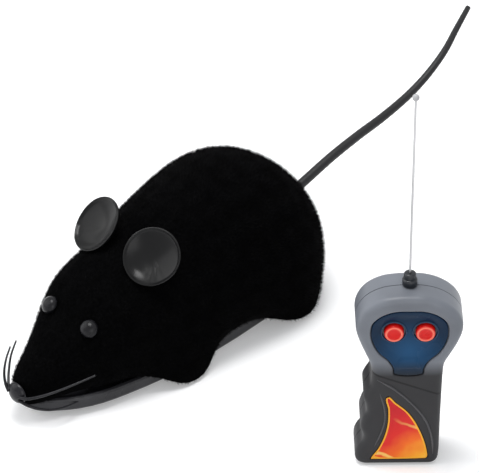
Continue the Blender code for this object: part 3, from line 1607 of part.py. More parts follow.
def ear_profile():
    radius = EAR_RADIUS
    depth = EAR_BOWL
    points = [(0, -depth)]
    for share in EAR_BOWL_SHARES:
        points.append((radius * share, -depth * (1 - share * share)))
    for inward, up in EAR_RIM_SHARES:
        points.append((radius - EAR_RIM * inward, EAR_RIM * up))
    for share in EAR_BOWL_SHARES[:0:-1]:
        points.append((radius * share, -depth * (1 - share * share) - EAR_SKIN))
    points += [
        (EAR_NECK_RADIUS, -depth - EAR_SKIN),
        (EAR_STEM_RADIUS, -depth - EAR_SKIN * EAR_NECK_SHARE),
        (EAR_STEM_RADIUS, -EAR_STEM_LENGTH),
        (0, -EAR_STEM_LENGTH),
    ]
    return points


def eye_profile():
    points = [(0, EYE_HEIGHT)]
    for degrees in EYE_DOME_DEGREES:
        angle = math.radians(degrees)
        points.append((EYE_RADIUS * math.sin(angle), EYE_HEIGHT * math.cos(angle)))
    points += [
        (EYE_RADIUS, 0),
        (EYE_RADIUS * EYE_FOOT_SHARE, -EYE_HEIGHT * EYE_SEAT_SHARES[0]),
        (EYE_STEM_RADIUS, -EYE_HEIGHT * EYE_SEAT_SHARES[1]),
        (EYE_STEM_RADIUS, -EYE_STEM_LENGTH),
        (0, -EYE_STEM_LENGTH),
    ]
    return points


def nose_profile():
    points = [(0, NOSE_REACH)]
    for degrees in NOSE_DOME_DEGREES:
        angle = math.radians(degrees)
        points.append((NOSE_RADIUS * math.sin(angle), NOSE_REACH * math.cos(angle)))
    points += [
        (NOSE_RADIUS, 0),
        (NOSE_RADIUS * NOSE_FOOT_SHARE, -GAP),
        (NOSE_STEM_RADIUS, -GAP),
        (NOSE_STEM_RADIUS, -NOSE_STEM_LENGTH),
        (0, -NOSE_STEM_LENGTH),
    ]
    return points


def whisker(shares, side):
    reach = WHISKER_REACH
    route = [(side * x * reach, y * reach, NOSE_HEIGHT + z * reach) for x, y, z in shares]
    line = smooth_line(route, WHISKER_STEPS)
    last = len(line) - 1
    taper = WHISKER_TIP_RADIUS - WHISKER_ROOT_RADIUS
    return tube(
        line,
        [WHISKER_ROOT_RADIUS + taper * index / last for index in range(last + 1)],
        1,
        "whisker",
    )


def make_head_pieces(frame):
    for side, name in ((1, "left"), (-1, "right")):
        ear = moved(turned_mesh(ear_profile(), EAR_STEPS), ear_frame(side))
        smooth(add_part("ear_" + name, ear, frame, "soft_rubber"))
        eye = moved(turned_mesh(eye_profile(), ROUND_STEPS * 3 // 4), eye_frame(side))
        smooth(add_part("eye_" + name, eye, frame, "bead"))
    cap = moved(turned_mesh(nose_profile()), frame_along((0, -1, 0), (0, -2 * GAP, NOSE_HEIGHT)))
    nose = add_part("nose_and_whiskers", cap, frame, "soft_rubber")
    unite(nose, joined(*(whisker(shares, side) for shares in WHISKER_SHARES for side in (1, -1))))
    smooth(nose)


def make_tail(frame):
    line = smooth_line(tail_route(), TAIL_STEPS)
    last = len(line) - 1
    radii = [
        TAIL_ROOT_RADIUS + (TAIL_TIP_RADIUS - TAIL_ROOT_RADIUS) * (index / last) ** TAIL_TAPER
        for index in range(last + 1)
    ]
    tail = add_part("tail", tube(line, radii, 3, "tail"), frame, "soft_rubber")
    smooth(tail, SOFT_EDGES)
    return tail


def remote_outline():
    """The transmitter's outline, flat along its base."""
    line = smooth_loop(scaled(REMOTE_OUTLINE_SHARES, REMOTE_HEIGHT), 2)
    return [(across, max(up, 0)) for across, up in line]


def upright(mesh):
    """A slab drawn in X and Y stands up in X and Z, its thickness along -Y."""
    return moved(mesh, Matrix.Rotation(math.pi / 2, 4, "X"))


def face_slab(outline, near, far):
    """A piece of the transmitter drawn in X and Z between two depths, the nearer one first."""
    return upright(slab(outline, -far, -near))


def remote_blank(low, high, name, frame, finish):
    """The rounded transmitter body, kept between two depths."""
    outline = remote_outline()
    part = add_part(name, face_slab(outline, -REMOTE_DEPTH / 2, REMOTE_DEPTH / 2), frame, finish)
    round_edges(part, REMOTE_ROUND, 2, SOFT_EDGES)
    wide = REMOTE_HEIGHT
    if low > -REMOTE_DEPTH / 2:
        cut(part, block((-wide, -wide, -wide), (wide, low, wide * 2)))
    if high < REMOTE_DEPTH / 2:
        cut(part, block((-wide, high, -wide), (wide, wide, wide * 2)))
    inner = inset(outline, REMOTE_WALL)
    cut(part, face_slab(inner, -REMOTE_DEPTH / 2 + REMOTE_FRONT_WALL, REMOTE_DEPTH / 2 - REMOTE_WALL))
    return part


REMOTE_FACE = -REMOTE_DEPTH / 2
REMOTE_BACK = REMOTE_DEPTH / 2
FRONT_INSIDE = REMOTE_FACE + REMOTE_FRONT_WALL
BACK_INSIDE = REMOTE_BACK - REMOTE_WALL
REMOTE_BAY_LENGTH = (
    REMOTE_CELL_LENGTH + CELL_NUB_LENGTH + CONTACT_SPRING_LENGTH + 2 * CONTACT_THICKNESS + 4 * GAP
)
REMOTE_BAY_TOP = REMOTE_BAY_BOTTOM + REMOTE_BAY_LENGTH
REMOTE_BAY_HALF = REMOTE_CELL_RADIUS + GAP
FLANGE_NEAR = FRONT_INSIDE + GAP
BUTTON_POST_END = FLANGE_NEAR + BUTTON_FLANGE + GAP
SWITCH_NEAR = BUTTON_POST_END + BUTTON_TRAVEL + GAP
REMOTE_BOARD_NEAR = SWITCH_NEAR + REMOTE_SWITCH_PLUNGER[1] + REMOTE_SWITCH_SIZE[2] + GAP


def button_places():
    across, up = BUTTON_PLACE_SHARES
    return [
        ("left", -across * REMOTE_HEIGHT, up * REMOTE_HEIGHT),
        ("right", across * REMOTE_HEIGHT, up * REMOTE_HEIGHT),
    ]


def panel_outline():
    right = scaled(PANEL_SHARES, REMOTE_HEIGHT)
    left = [(-across, up) for across, up in reversed(right[1:])]
    return smooth_loop(right + left, 2)


def window_outline():
    return smooth_loop(scaled(WINDOW_SHARES, REMOTE_HEIGHT), 2)


def remote_screw_places():
    across, up = REMOTE_UPPER_SCREW_SHARES
    beside_bay = REMOTE_CELL_ACROSS + REMOTE_BAY_HALF + REMOTE_BAY_WALL + GAP + REMOTE_BOSS_RADIUS
    return [
        ("upper", across * REMOTE_HEIGHT, up * REMOTE_HEIGHT),
        ("lower", beside_bay, REMOTE_LOWER_SCREW_UP_SHARE * REMOTE_HEIGHT),
    ]


def deep_rod(radius, across, up, near, far, steps=ROUND_STEPS):
    return rod(radius, (across, near, up), (across, far, up), steps)


def collar_hole():
    top = REMOTE_HEIGHT - REMOTE_WALL - OVERRUN
    return rod(COLLAR_NECK_RADIUS + COLLAR_NECK_GAP, (0, 0, top), (0, 0, REMOTE_HEIGHT + OVERRUN))


def make_front_shell(frame):
    part = remote_blank(REMOTE_FACE, -GAP / 2, "remote_front_shell", frame, "remote_plastic")
    bosses = [
        deep_rod(REMOTE_BOSS_RADIUS, x, z, FRONT_INSIDE - REMOTE_WALL / 2, -GAP)
        for _, x, z in remote_screw_places()
    ]
    unite(part, joined(*bosses))
    recesses = [
        face_slab(panel_outline(), REMOTE_FACE - OVERRUN, REMOTE_FACE + PANEL_RECESS),
        face_slab(window_outline(), REMOTE_FACE - OVERRUN, REMOTE_FACE + WINDOW_RECESS),
    ]
    cut(part, joined(*recesses))
    holes = [
        deep_rod(BUTTON_RADIUS + BUTTON_BORE_GAP, x, z, REMOTE_FACE, FRONT_INSIDE + SHORT_OVERRUN)
        for _, x, z in button_places()
    ]
    holes += [
        deep_rod(SCREW_SHANK_RADIUS + GAP, x, z, FRONT_INSIDE + GAP, OVERRUN)
        for _, x, z in remote_screw_places()
    ]
    cut(part, joined(*holes, collar_hole()))
    smooth(part, CRISP_EDGES)
    return part


def make_rear_shell(frame):
    part = remote_blank(GAP / 2, REMOTE_BACK, "remote_rear_shell", frame, "remote_plastic")
    wall = REMOTE_BAY_WALL
    half = REMOTE_BAY_HALF + wall
    bay_near = REMOTE_CELL_DEEP - REMOTE_CELL_RADIUS - GAP
    bay = block(
        (REMOTE_CELL_ACROSS - half, bay_near - wall, REMOTE_BAY_BOTTOM - wall),
        (REMOTE_CELL_ACROSS + half, BACK_INSIDE + REMOTE_WALL / 2, REMOTE_BAY_TOP + wall),
    )
    bosses = [
        deep_rod(REMOTE_BOSS_RADIUS, x, z, GAP, BACK_INSIDE + REMOTE_WALL / 2)
        for _, x, z in remote_screw_places()
    ]
    spacers = [
        deep_rod(REMOTE_SPACER_RADIUS, x, z, remote_board_far() + GAP, BACK_INSIDE + REMOTE_WALL / 2)
        for x, z in spacer_places()
    ]
    unite(part, bay)
    unite(part, joined(*spacers))
    unite(part, joined(*bosses))
    inside = block(
        (REMOTE_CELL_ACROSS - REMOTE_BAY_HALF, bay_near, REMOTE_BAY_BOTTOM),
        (REMOTE_CELL_ACROSS + REMOTE_BAY_HALF, REMOTE_BACK + OVERRUN, REMOTE_BAY_TOP),
    )
    margin = REMOTE_DOOR_MARGIN
    rebate = block(
        (
            REMOTE_CELL_ACROSS - REMOTE_BAY_HALF - margin,
            REMOTE_BACK - REMOTE_DOOR_THICKNESS - GAP,
            REMOTE_BAY_BOTTOM - margin,
        ),
        (REMOTE_CELL_ACROSS + REMOTE_BAY_HALF + margin, REMOTE_BACK + OVERRUN, REMOTE_BAY_TOP + margin),
    )
    cut(part, inside)
    cut(part, rebate)
    holes = []
    for _, x, z in remote_screw_places():
        profile = (
            (0, REMOTE_BACK + OVERRUN),
            (SCREW_HEAD_RADIUS + GAP, REMOTE_BACK + OVERRUN),
            (SCREW_HEAD_RADIUS + GAP, REMOTE_BACK - REMOTE_SCREW_SEAT),
            (SCREW_SHANK_RADIUS + GAP, REMOTE_BACK - REMOTE_SCREW_SEAT),
            (SCREW_SHANK_RADIUS + GAP, -OVERRUN),
            (0, -OVERRUN),
        )
        aim = Matrix.Translation((x, 0, z)) @ Matrix.Rotation(-math.pi / 2, 4, "X")
        holes.append(moved(turned_mesh(profile), aim))
    cut(part, joined(*holes, collar_hole()))
    smooth(part, CRISP_EDGES)
    return part


def remote_board_span():
    """The board's half width, its foot and its top, between the bay, the upper boss and the collar."""
    _, screw_across, _ = remote_screw_places()[0]
    half = abs(screw_across) - REMOTE_BOSS_RADIUS - REMOTE_BOARD_SIDE_ROOM
    foot = REMOTE_BAY_TOP + REMOTE_BAY_WALL + REMOTE_BOARD_FOOT_ROOM
    top = REMOTE_HEIGHT - REMOTE_WALL - GAP - COLLAR_FLANGE[1] - REMOTE_BOARD_TOP_ROOM
    return half, foot, top


def spacer_places():
    side, end = REMOTE_SPACER_MARGIN
    half, _, top = remote_board_span()
    return [(side - half, top - end), (half - side, top - end)]


def remote_board_far():
    return REMOTE_BOARD_NEAR + REMOTE_BOARD_THICKNESS


def make_remote_pieces(frame):
    near = REMOTE_FACE + PANEL_RECESS - GAP - PANEL_THICKNESS
    panel = add_part(
        "face_panel",
        face_slab(inset(panel_outline(), GAP), near, near + PANEL_THICKNESS),
        frame,
        "panel_plastic",
    )
    holes = [
        deep_rod(BUTTON_RADIUS + BUTTON_BORE_GAP + RING_WIDTH, x, z, near - OVERRUN, near + OVERRUN)
        for _, x, z in button_places()
    ]
    cut(panel, joined(*holes))
    label_near = REMOTE_FACE + WINDOW_RECESS - GAP - LABEL_THICKNESS
    add_part(
        "grip_label",
        face_slab(inset(window_outline(), GAP), label_near, label_near + LABEL_THICKNESS),
        frame,
        "label_print",
    )
    for name, x, z in button_places():
        make_button(frame, name, x, z, near)
        make_button_switch(frame, name, x, z)
    make_remote_board(frame)
    make_remote_cell(frame)
    make_remote_door(frame)
    make_remote_screws(frame)
    make_antenna(frame)


def make_button(frame, name, x, z, panel_near):
    line = empty("button_line_" + name, (x, 0, z), 0, frame)
    front = -(panel_near - BUTTON_PROUD)
    profile = (
        (0, front),
        (BUTTON_RADIUS * BUTTON_CROWN_SHARES[0], front - BUTTON_DOME * BUTTON_CROWN_SHARES[1]),
        (BUTTON_RADIUS - BUTTON_DOME / 2, front - BUTTON_DOME),
        (BUTTON_RADIUS, front - BUTTON_DOME * 2),
        (BUTTON_RADIUS, -FLANGE_NEAR),
        (BUTTON_FLANGE_RADIUS, -FLANGE_NEAR),
        (BUTTON_FLANGE_RADIUS, -FLANGE_NEAR - BUTTON_FLANGE),
        (BUTTON_POST_RADIUS, -FLANGE_NEAR - BUTTON_FLANGE),
        (BUTTON_POST_RADIUS, -BUTTON_POST_END),
        (0, -BUTTON_POST_END),
    )
    button = moved(turned_mesh(profile), Matrix.Rotation(math.pi / 2, 4, "X"))
    smooth(add_part("button_" + name, button, line, "button_red"))


def make_button_switch(frame, name, x, z):
    size = REMOTE_SWITCH_SIZE
    plunger_radius, plunger = REMOTE_SWITCH_PLUNGER
    near = SWITCH_NEAR + plunger
    body = block(
        (x - size[0] / 2, near, z - size[1] / 2),
        (x + size[0] / 2, near + size[2], z + size[1] / 2),
    )
    switch = add_part("button_switch_" + name, body, frame, "chip")
    unite(switch, deep_rod(plunger_radius, x, z, SWITCH_NEAR, near + size[2] / 2, ROUND_STEPS // 2))


def make_remote_board(frame):
    half, foot, top = remote_board_span()
    board = block((-half, REMOTE_BOARD_NEAR, foot), (half, remote_board_far(), top))
    add_part("remote_board", board, frame, "board")


def make_remote_cell(frame):
    place = (REMOTE_CELL_ACROSS, REMOTE_CELL_DEEP)
    foot = REMOTE_BAY_BOTTOM + GAP + CONTACT_THICKNESS
    cell = cell_mesh(REMOTE_CELL_RADIUS, REMOTE_CELL_LENGTH, CELL_NUB_RADIUS, CELL_NUB_LENGTH)
    cell_place = Matrix.Translation((*place, foot + CONTACT_SPRING_LENGTH + GAP))
    add_part("remote_cell", moved(cell, cell_place), frame, "cell_wrap")
    spring = spring_mesh(
        REMOTE_SPRING_WIDE,
        CONTACT_SPRING_NARROW,
        CONTACT_SPRING_LENGTH,
        CONTACT_SPRING_WIRE,
        CONTACT_SPRING_TURNS,
    )
    spring = moved(spring, Matrix.Translation((*place, foot - CONTACT_SPRING_WIRE / 2)))
    half = REMOTE_CONTACT_WIDTH / 2
    plates = [
        block(
            (place[0] - half, place[1] - half, low),
            (place[0] + half, place[1] + half, low + CONTACT_THICKNESS),
        )
        for low in (REMOTE_BAY_BOTTOM + GAP, REMOTE_BAY_TOP - GAP - CONTACT_THICKNESS)
    ]
    spring_contact("remote_spring_contact", plates[0], spring, frame)
    add_part("remote_plate_contact", plates[1], frame, "steel")


def make_remote_door(frame):
    margin = REMOTE_DOOR_MARGIN - GAP
    door = block(
        (
            REMOTE_CELL_ACROSS - REMOTE_BAY_HALF - margin,
            REMOTE_BACK - REMOTE_DOOR_THICKNESS,
            REMOTE_BAY_BOTTOM - margin,
        ),
        (REMOTE_CELL_ACROSS + REMOTE_BAY_HALF + margin, REMOTE_BACK, REMOTE_BAY_TOP + margin),
    )
    part = add_part("remote_battery_door", door, frame, "remote_plastic")
    ridges = []
    for index in range(DOOR_GRIP_COUNT):
        up = REMOTE_BAY_TOP - (index + 1) * DOOR_LUG_WIDTH / 2
        ridges.append(
            block(
                (REMOTE_CELL_ACROSS - DOOR_GRIP_WIDTH / 3, REMOTE_BACK - DOOR_GRIP_HEIGHT, up),
                (REMOTE_CELL_ACROSS + DOOR_GRIP_WIDTH / 3, REMOTE_BACK + OVERRUN, up + DOOR_LUG_DEPTH),
            )
        )
    cut(part, joined(*ridges))


def make_remote_screws(frame):
    screw = screw_mesh()
    seat = REMOTE_BACK - REMOTE_SCREW_SEAT + RUNNING_GAP
    aim = Matrix.Rotation(math.pi / 2, 4, "X")
    for name, x, z in remote_screw_places():
        add_part(
            "remote_screw_" + name,
            moved(screw, Matrix.Translation((x, seat, z)) @ aim),
            frame,
            "steel",
        )


def make_antenna(frame):
    top = REMOTE_HEIGHT
    low_radius, low_height = COLLAR_LOWER
    high_radius, high_height = COLLAR_UPPER
    flange_radius, flange = COLLAR_FLANGE
    shoulder = top + GAP + low_height
    collar_top = shoulder + high_height
    inside = top - REMOTE_WALL - GAP
    bore = ANTENNA_RADIUS + RUNNING_GAP
    seat = collar_top - ANTENNA_SEAT
    collar = turned_mesh(
        (
            (0, seat),
            (bore, seat),
            (bore, collar_top),
            (high_radius * COLLAR_CROWN_SHARES[0], collar_top),
            (high_radius, collar_top - high_height * COLLAR_CROWN_SHARES[1]),
            (high_radius, shoulder),
            (low_radius, shoulder),
            (low_radius, top + GAP),
            (COLLAR_NECK_RADIUS, top + GAP),
            (COLLAR_NECK_RADIUS, inside),
            (flange_radius, inside),
            (flange_radius, inside - flange),
            (0, inside - flange),
        ),
        SMALL_STEPS,
    )
    smooth(add_part("antenna_collar", collar, frame, "remote_plastic"))
    wire = rod(
        ANTENNA_RADIUS,
        (0, 0, seat + RUNNING_GAP),
        (0, 0, collar_top + ANTENNA_LENGTH),
        ROUND_STEPS // 2,
    )
    smooth(add_part("antenna_wire", wire, frame, "steel"))
    tip_middle = collar_top + ANTENNA_LENGTH
    profile = [(bore, tip_middle)]
    profile += [
        (
            TIP_RADIUS * math.sin(math.radians(degrees)),
            tip_middle + TIP_RADIUS * math.cos(math.radians(degrees)),
        )
        for degrees in TIP_DEGREES
    ]
    floor = tip_middle - TIP_RADIUS * math.cos(math.radians(TIP_DEGREES[0]))
    tip = turned_mesh(
        [(0, tip_middle + TIP_RADIUS)]
        + profile[1:]
        + [(bore, floor), (bore, tip_middle + RUNNING_GAP), (0, tip_middle + RUNNING_GAP)],
        SMALL_STEPS,
    )
    smooth(add_part("antenna_tip", tip, frame, "white_plastic"))


def centre_on_floor(frames):
    """Shift the two frames so that the whole set's box is centred over the origin."""
    bpy.context.view_layer.update()
    graph = bpy.context.evaluated_depsgraph_get()
    corners = []
    for item in parts.objects:
        if item.type == "MESH":
            shape = item.evaluated_get(graph)
            corners += [shape.matrix_world @ Vector(corner) for corner in shape.bound_box]
    low = Vector([min(corner[axis] for corner in corners) for axis in range(3)])
    high = Vector([max(corner[axis] for corner in corners) for axis in range(3)])
    middle = (low + high) / 2
    for frame in frames:
        frame.location -= Vector((middle.x, middle.y, low.z))
    bpy.context.view_layer.update()


clear_scene()
parts = new_collection("radio_mouse_toy")
cutters = new_collection("cutters")
mouse = empty("mouse_frame", (0, 0, 0))
remote = empty("remote_frame", (*REMOTE_PLACE, 0), REMOTE_TURN)

make_body_shell(mouse)
make_chassis(mouse)
make_battery_door(mouse)
make_screws(mouse)
make_cells(mouse)
make_drive(mouse)
make_castor(mouse)
make_receiver(mouse)
make_switch(mouse)
make_head_pieces(mouse)
make_tail(mouse)
make_front_shell(remote)
make_rear_shell(remote)
make_remote_pieces(remote)
centre_on_floor((mouse, remote))
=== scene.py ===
# %% [markdown]
# # A radio mouse for a cat, and its hand transmitter
# The moving parts come ready from the CAD model. This lesson dresses them: a coat of short
# flock, soft rubber ears and tail, glossy bead eyes and a moulded transmitter with its printed
# label. Each step says what the real piece is, how it could be made and why this way was taken.

import json
import math

import bmesh
import bpy
import numpy as np
from mathutils import Matrix, Vector
from mathutils.geometry import delaunay_2d_cdt


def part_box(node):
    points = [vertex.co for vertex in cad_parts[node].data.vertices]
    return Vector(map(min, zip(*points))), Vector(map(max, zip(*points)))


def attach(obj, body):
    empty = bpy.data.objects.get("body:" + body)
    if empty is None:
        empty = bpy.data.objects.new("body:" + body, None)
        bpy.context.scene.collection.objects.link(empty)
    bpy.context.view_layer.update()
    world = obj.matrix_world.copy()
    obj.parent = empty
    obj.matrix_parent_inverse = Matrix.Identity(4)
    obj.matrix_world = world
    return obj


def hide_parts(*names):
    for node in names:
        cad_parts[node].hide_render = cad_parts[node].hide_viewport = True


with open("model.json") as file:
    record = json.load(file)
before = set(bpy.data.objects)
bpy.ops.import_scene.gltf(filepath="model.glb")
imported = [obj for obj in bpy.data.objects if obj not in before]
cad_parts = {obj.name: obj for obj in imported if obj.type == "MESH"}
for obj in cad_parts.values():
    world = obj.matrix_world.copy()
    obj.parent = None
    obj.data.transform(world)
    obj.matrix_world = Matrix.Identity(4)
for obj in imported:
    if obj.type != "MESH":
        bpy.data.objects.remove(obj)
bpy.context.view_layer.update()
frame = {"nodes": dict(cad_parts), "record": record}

# %% [markdown]
# The mouse and the transmitter each have a frame of their own, in which shapes are easier to
# write. Both are read off the CAD parts, so a shift of the set moves the dressing with it:
# the mouse's from its rear axle, the transmitter's from its upright aerial.

# %% The two frames
MM = 0.001
REAR_AXLE_FROM_NOSE = 111.005
TRANSMITTER_TURN = math.radians(45.0)


def middle(node):
    low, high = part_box(node)
    return (low + high) / 2


axle = middle("rear_axle")
aerial = middle("antenna_wire")
in_mm = Matrix.Diagonal((MM, MM, MM, 1))
mouse = Matrix.Translation((axle.x, axle.y - REAR_AXLE_FROM_NOSE * MM, 0)) @ in_mm
facing = Matrix.Rotation(TRANSMITTER_TURN, 4, "Z")
transmitter = Matrix.Translation((aerial.x, aerial.y, 0)) @ facing @ in_mm
print("nose tip at", [round(v, 4) for v in mouse.translation])

# %% [markdown]
# ## Shapes
# Most pieces here are turned, like a bead, or swept along a line, like a tail. Modifiers could
# do both, but rows of points that are written out and joined by quads keep each piece one clean
# closed mesh. Only the screw holes and bosses of the transmitter are left to Booleans.

# %% Rows of points to a closed mesh
def joined_rows(rows):
    """Points and faces of rings in a row, with a point at each end."""
    count = len(rows[1])
    points = [rows[0], *(point for ring in rows[1:-1] for point in ring), rows[-1]]
    last = len(points) - 1
    faces = []
    for step in range(count):
        ahead = (step + 1) % count
        faces.append((0, 1 + step, 1 + ahead))
        for low in range(1, last - count, count):
            high = low + count
            faces.append((low + step, high + step, high + ahead, low + ahead))
        faces.append((last - count + ahead, last - count + step, last))
    return points, faces


def turned(profile, steps, warp=lambda radius, height, angle: (radius, height)):
    """A profile of (radius, height) turned about Z, from one point on the axis to another."""
    rows = [(0.0, 0.0, warp(0.0, profile[0][1], 0.0)[1])]
    for radius, height in profile[1:-1]:
        ring = []
        for step in range(steps):
            angle = 2 * math.pi * step / steps
            wide, tall = warp(radius, height, angle)
            ring.append((wide * math.cos(angle), wide * math.sin(angle), tall))
        rows.append(ring)
    return joined_rows(rows + [(0.0, 0.0, profile[-1][1])])


print("faces of a cone in 12 steps:", len(turned([(0, 2), (1, 0), (0, 0)], 12)[1]))

# %% Lines and strands
def smooth_line(points, steps):
    """A smooth line through points, at even steps between each two."""
    places = [Vector(point) for point in points]
    places = [places[0], *places, places[-1]]
    line = []
    for before, start, end, after in zip(places, places[1:], places[2:], places[3:]):
        span = (end - start).length
        leave = (end - before).normalized() * span
        arrive = (after - start).normalized() * span
        for step in range(steps):
            t = step / steps
            line.append(
                start * (2 * t**3 - 3 * t**2 + 1)
                + leave * (t**3 - 2 * t**2 + t)
                + end * (3 * t**2 - 2 * t**3)
                + arrive * (t**3 - t**2)
            )
    return line + [places[-1]]


def swept(line, radii, sides, flat=1.0, across=(1, 0, 0)):
    """A strand along a line. It may be flattened along the second side of its section."""
    side = Vector(across)
    rows = [line[0]]
    for behind, place, ahead, radius in zip([line[0], *line], line, [*line[1:], line[-1]], radii):
        along = (ahead - behind).normalized()
        side = (side - along * side.dot(along)).normalized()
        other = along.cross(side)
        ring = []
        for step in range(sides):
            angle = 2 * math.pi * step / sides
            reach = side * math.cos(angle) + other * (math.sin(angle) * flat)
            ring.append(place + reach * radius)
        rows.append(ring)
    return joined_rows(rows + [line[-1]])


print("points of a bend:", len(smooth_line([(0, 0, 0), (1, 0, 0), (1, 1, 0)], 8)))

# %% A mesh and a piece of it
SHARP_EDGE = math.radians(38)


def solid(shape):
    """A mesh of points and faces, with all its faces turned outward."""
    points, faces = shape
    mesh = bpy.data.meshes.new("solid")
    mesh.from_pydata([tuple(point) for point in points], [], [tuple(face) for face in faces])
    work = bmesh.new()
    work.from_mesh(mesh)
    bmesh.ops.recalc_face_normals(work, faces=work.faces)
    work.to_mesh(mesh)
    work.free()
    return mesh


def put(name, data):
    """An object for a mesh, a lamp or a camera, linked into the scene."""
    made = bpy.data.objects.new(name, data)
    bpy.context.scene.collection.objects.link(made)
    return made


def piece(name, shape, place, body, finish, replaced=()):
    """One visible piece: a shape put in place, riding on a body."""
    mesh = shape if isinstance(shape, bpy.types.Mesh) else solid(shape)
    mesh.name = name
    mesh.transform(place)
    mesh.shade_smooth()
    mesh.set_sharp_from_angle(angle=SHARP_EDGE)
    mesh.materials.append(finish.material)
    made = put(name, mesh)
    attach(made, body)
    if replaced:
        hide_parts(*replaced)
    print(name, "faces:", len(mesh.polygons))
    return made


# %% [markdown]
# ## Finishes
# A finish is a small sum of patterns: grain, wear, a printed band. Written as Python sums it
# reads like one, so a socket is wrapped in a class whose +, -, * and / add the Math nodes.
# Colours go through Mix nodes, since a Math node would turn them grey.

# %% A socket that can be used in sums
def operator(operation):
    """How a wire answers to one sign, such as + or <."""
    return lambda self, other: self.math(operation, other)


class Wire:
    """An output socket, and the node tree that it is at home in."""

    def __init__(self, home, socket):
        self.home = home
        self.socket = socket

    def math(self, operation, *others):
        values = dict(enumerate((self, *others)))
        return self.home.node("ShaderNodeMath", {"operation": operation}, values)

    __add__ = __radd__ = operator("ADD")
    __mul__ = __rmul__ = operator("MULTIPLY")
    __sub__ = operator("SUBTRACT")
    __truediv__ = operator("DIVIDE")
    __gt__ = operator("GREATER_THAN")
    __lt__ = operator("LESS_THAN")

    def __rsub__(self, other):
        return self.home.node("ShaderNodeMath", {"operation": "SUBTRACT"}, {0: other, 1: self})

    def between(self, low, high):
        """0 below low, 1 above high, and an even rise in between."""
        return ((self - low) / (high - low)).math("MINIMUM", 1.0).math("MAXIMUM", 0.0)

    def far(self, other):
        """The distance from the origin of a point with these two coordinates."""
        return (self * self + other * other).math("SQRT")


def abilities(kind):
    return [name for name in vars(kind) if not name.startswith("_")]


print("a wire can do:", abilities(Wire))

# %% Nodes of any kind
class Nodes:
    """A node tree. One method adds any node, with its settings and its sockets' values."""

    def __init__(self, tree):
        self.tree = tree

    def join(self, socket, value):
        """Link a wire to a socket, or set the socket's own value."""
        if isinstance(value, Wire):
            self.tree.links.new(value.socket, socket)
        else:
            socket.default_value = value

    def node(self, kind, settings=None, inputs=None, output=0):
        made = self.tree.nodes.new(kind)
        for key, value in (settings or {}).items():
            if key == "stops":
                self.set_stops(made.color_ramp, value)
            else:
                setattr(made, key, value)
        for key, value in (inputs or {}).items():
            self.join(made.inputs[key], value)
        return Wire(self, made.outputs[output])

    @staticmethod
    def set_stops(ramp, stops):
        while len(ramp.elements) < len(stops):
            ramp.elements.new(1.0)
        for element, (position, colour) in zip(ramp.elements, stops):
            element.position = position
            element.color = (*colour, 1.0)

    def mix(self, factor, first, second):
        """Between two colours."""
        first, second = (c if isinstance(c, Wire) else (*c, 1.0) for c in (first, second))
        colours = {0: factor, 6: first, 7: second}
        return self.node("ShaderNodeMix", {"data_type": "RGBA"}, colours, output=2)

    def seen(self):
        """1 on rays of the camera, of reflections and through glass, and 0 on the rest."""
        rays = ("Is Camera Ray", "Is Glossy Ray", "Is Transmission Ray")
        camera, glossy, clear = (self.node("ShaderNodeLightPath", output=ray) for ray in rays)
        return camera.math("MAXIMUM", glossy).math("MAXIMUM", clear)


print("a node tree can do:", abilities(Nodes))

# %% A finish made of nodes
class Finish(Nodes):
    """A material with its Principled shader."""

    def __init__(self, name, colour, roughness, metallic=0.0, specular=0.5, coat=0.0):
        self.material = bpy.data.materials.new(name)
        self.material.use_nodes = True
        super().__init__(self.material.node_tree)
        self.feed("Base Color", (*colour, 1.0))
        self.feed("Roughness", roughness)
        self.feed("Metallic", metallic)
        self.feed("Specular IOR Level", specular)
        self.feed("Coat Weight", coat)
        self.material.diffuse_color = (*colour, 1.0)

    def feed(self, socket, value):
        """Set or link a socket of the shader."""
        self.join(self.tree.nodes["Principled BSDF"].inputs[socket], value)

    def place(self):
        """Where a point lies on the piece itself, in metres."""
        return self.node("ShaderNodeTexCoord", output="Object")

    def axis(self, letter):
        return self.node("ShaderNodeSeparateXYZ", inputs={0: self.place()}, output=letter)

    def noise(self, scale, detail=2.0, roughness=0.5, stretch=None):
        where = self.place()
        if stretch:
            spread = {0: where, 1: stretch}
            where = self.node("ShaderNodeVectorMath", {"operation": "MULTIPLY"}, spread)
        values = {"Vector": where, "Scale": scale, "Detail": detail, "Roughness": roughness}
        return self.node("ShaderNodeTexNoise", inputs=values)

    def paint(self, mask, first, second):
        """Colour the piece: the first colour where the mask is 0, the second where it is 1."""
        self.feed("Base Color", self.mix(mask, first, second))

    def bump(self, height, strength, distance):
        values = {"Height": height, "Strength": strength, "Distance": distance}
        self.feed("Normal", self.node("ShaderNodeBump", inputs=values))


print("a finish can also do:", abilities(Finish))

# %% [markdown]
# Moulded plastic has a fine spark-eroded grain, which softens its highlights. A fine noise
# makes that grain in the bump, and a broad one lets the gloss drift a little, as handling
# does. Metal gets a stretched grain, rubber a bloom.

# %% Plastic, rubber and metal
GRAIN_DEPTH = 0.12 * MM
FINE_GRAIN = 1500.0


def grained(
    name, colour, roughness, grain=0.25, scale=2600.0, drift=0.08, lighter=1.25, specular=0.5
):
    """Moulded plastic or rubber with its grain."""
    finish = Finish(name, colour, roughness, specular=specular)
    broad = finish.noise(60.0, 3.0)
    finish.paint(broad.between(0.35, 0.75), colour, [lighter * c for c in colour])
    finish.feed("Roughness", broad * (2 * drift) + (roughness - drift))
    finish.bump(finish.noise(scale, 2.0), grain, GRAIN_DEPTH)
    return finish


def soft_rubber(name, colour, roughness, grain, drift, specular):
    return grained(name, colour, roughness, grain, FINE_GRAIN, drift, specular=specular)


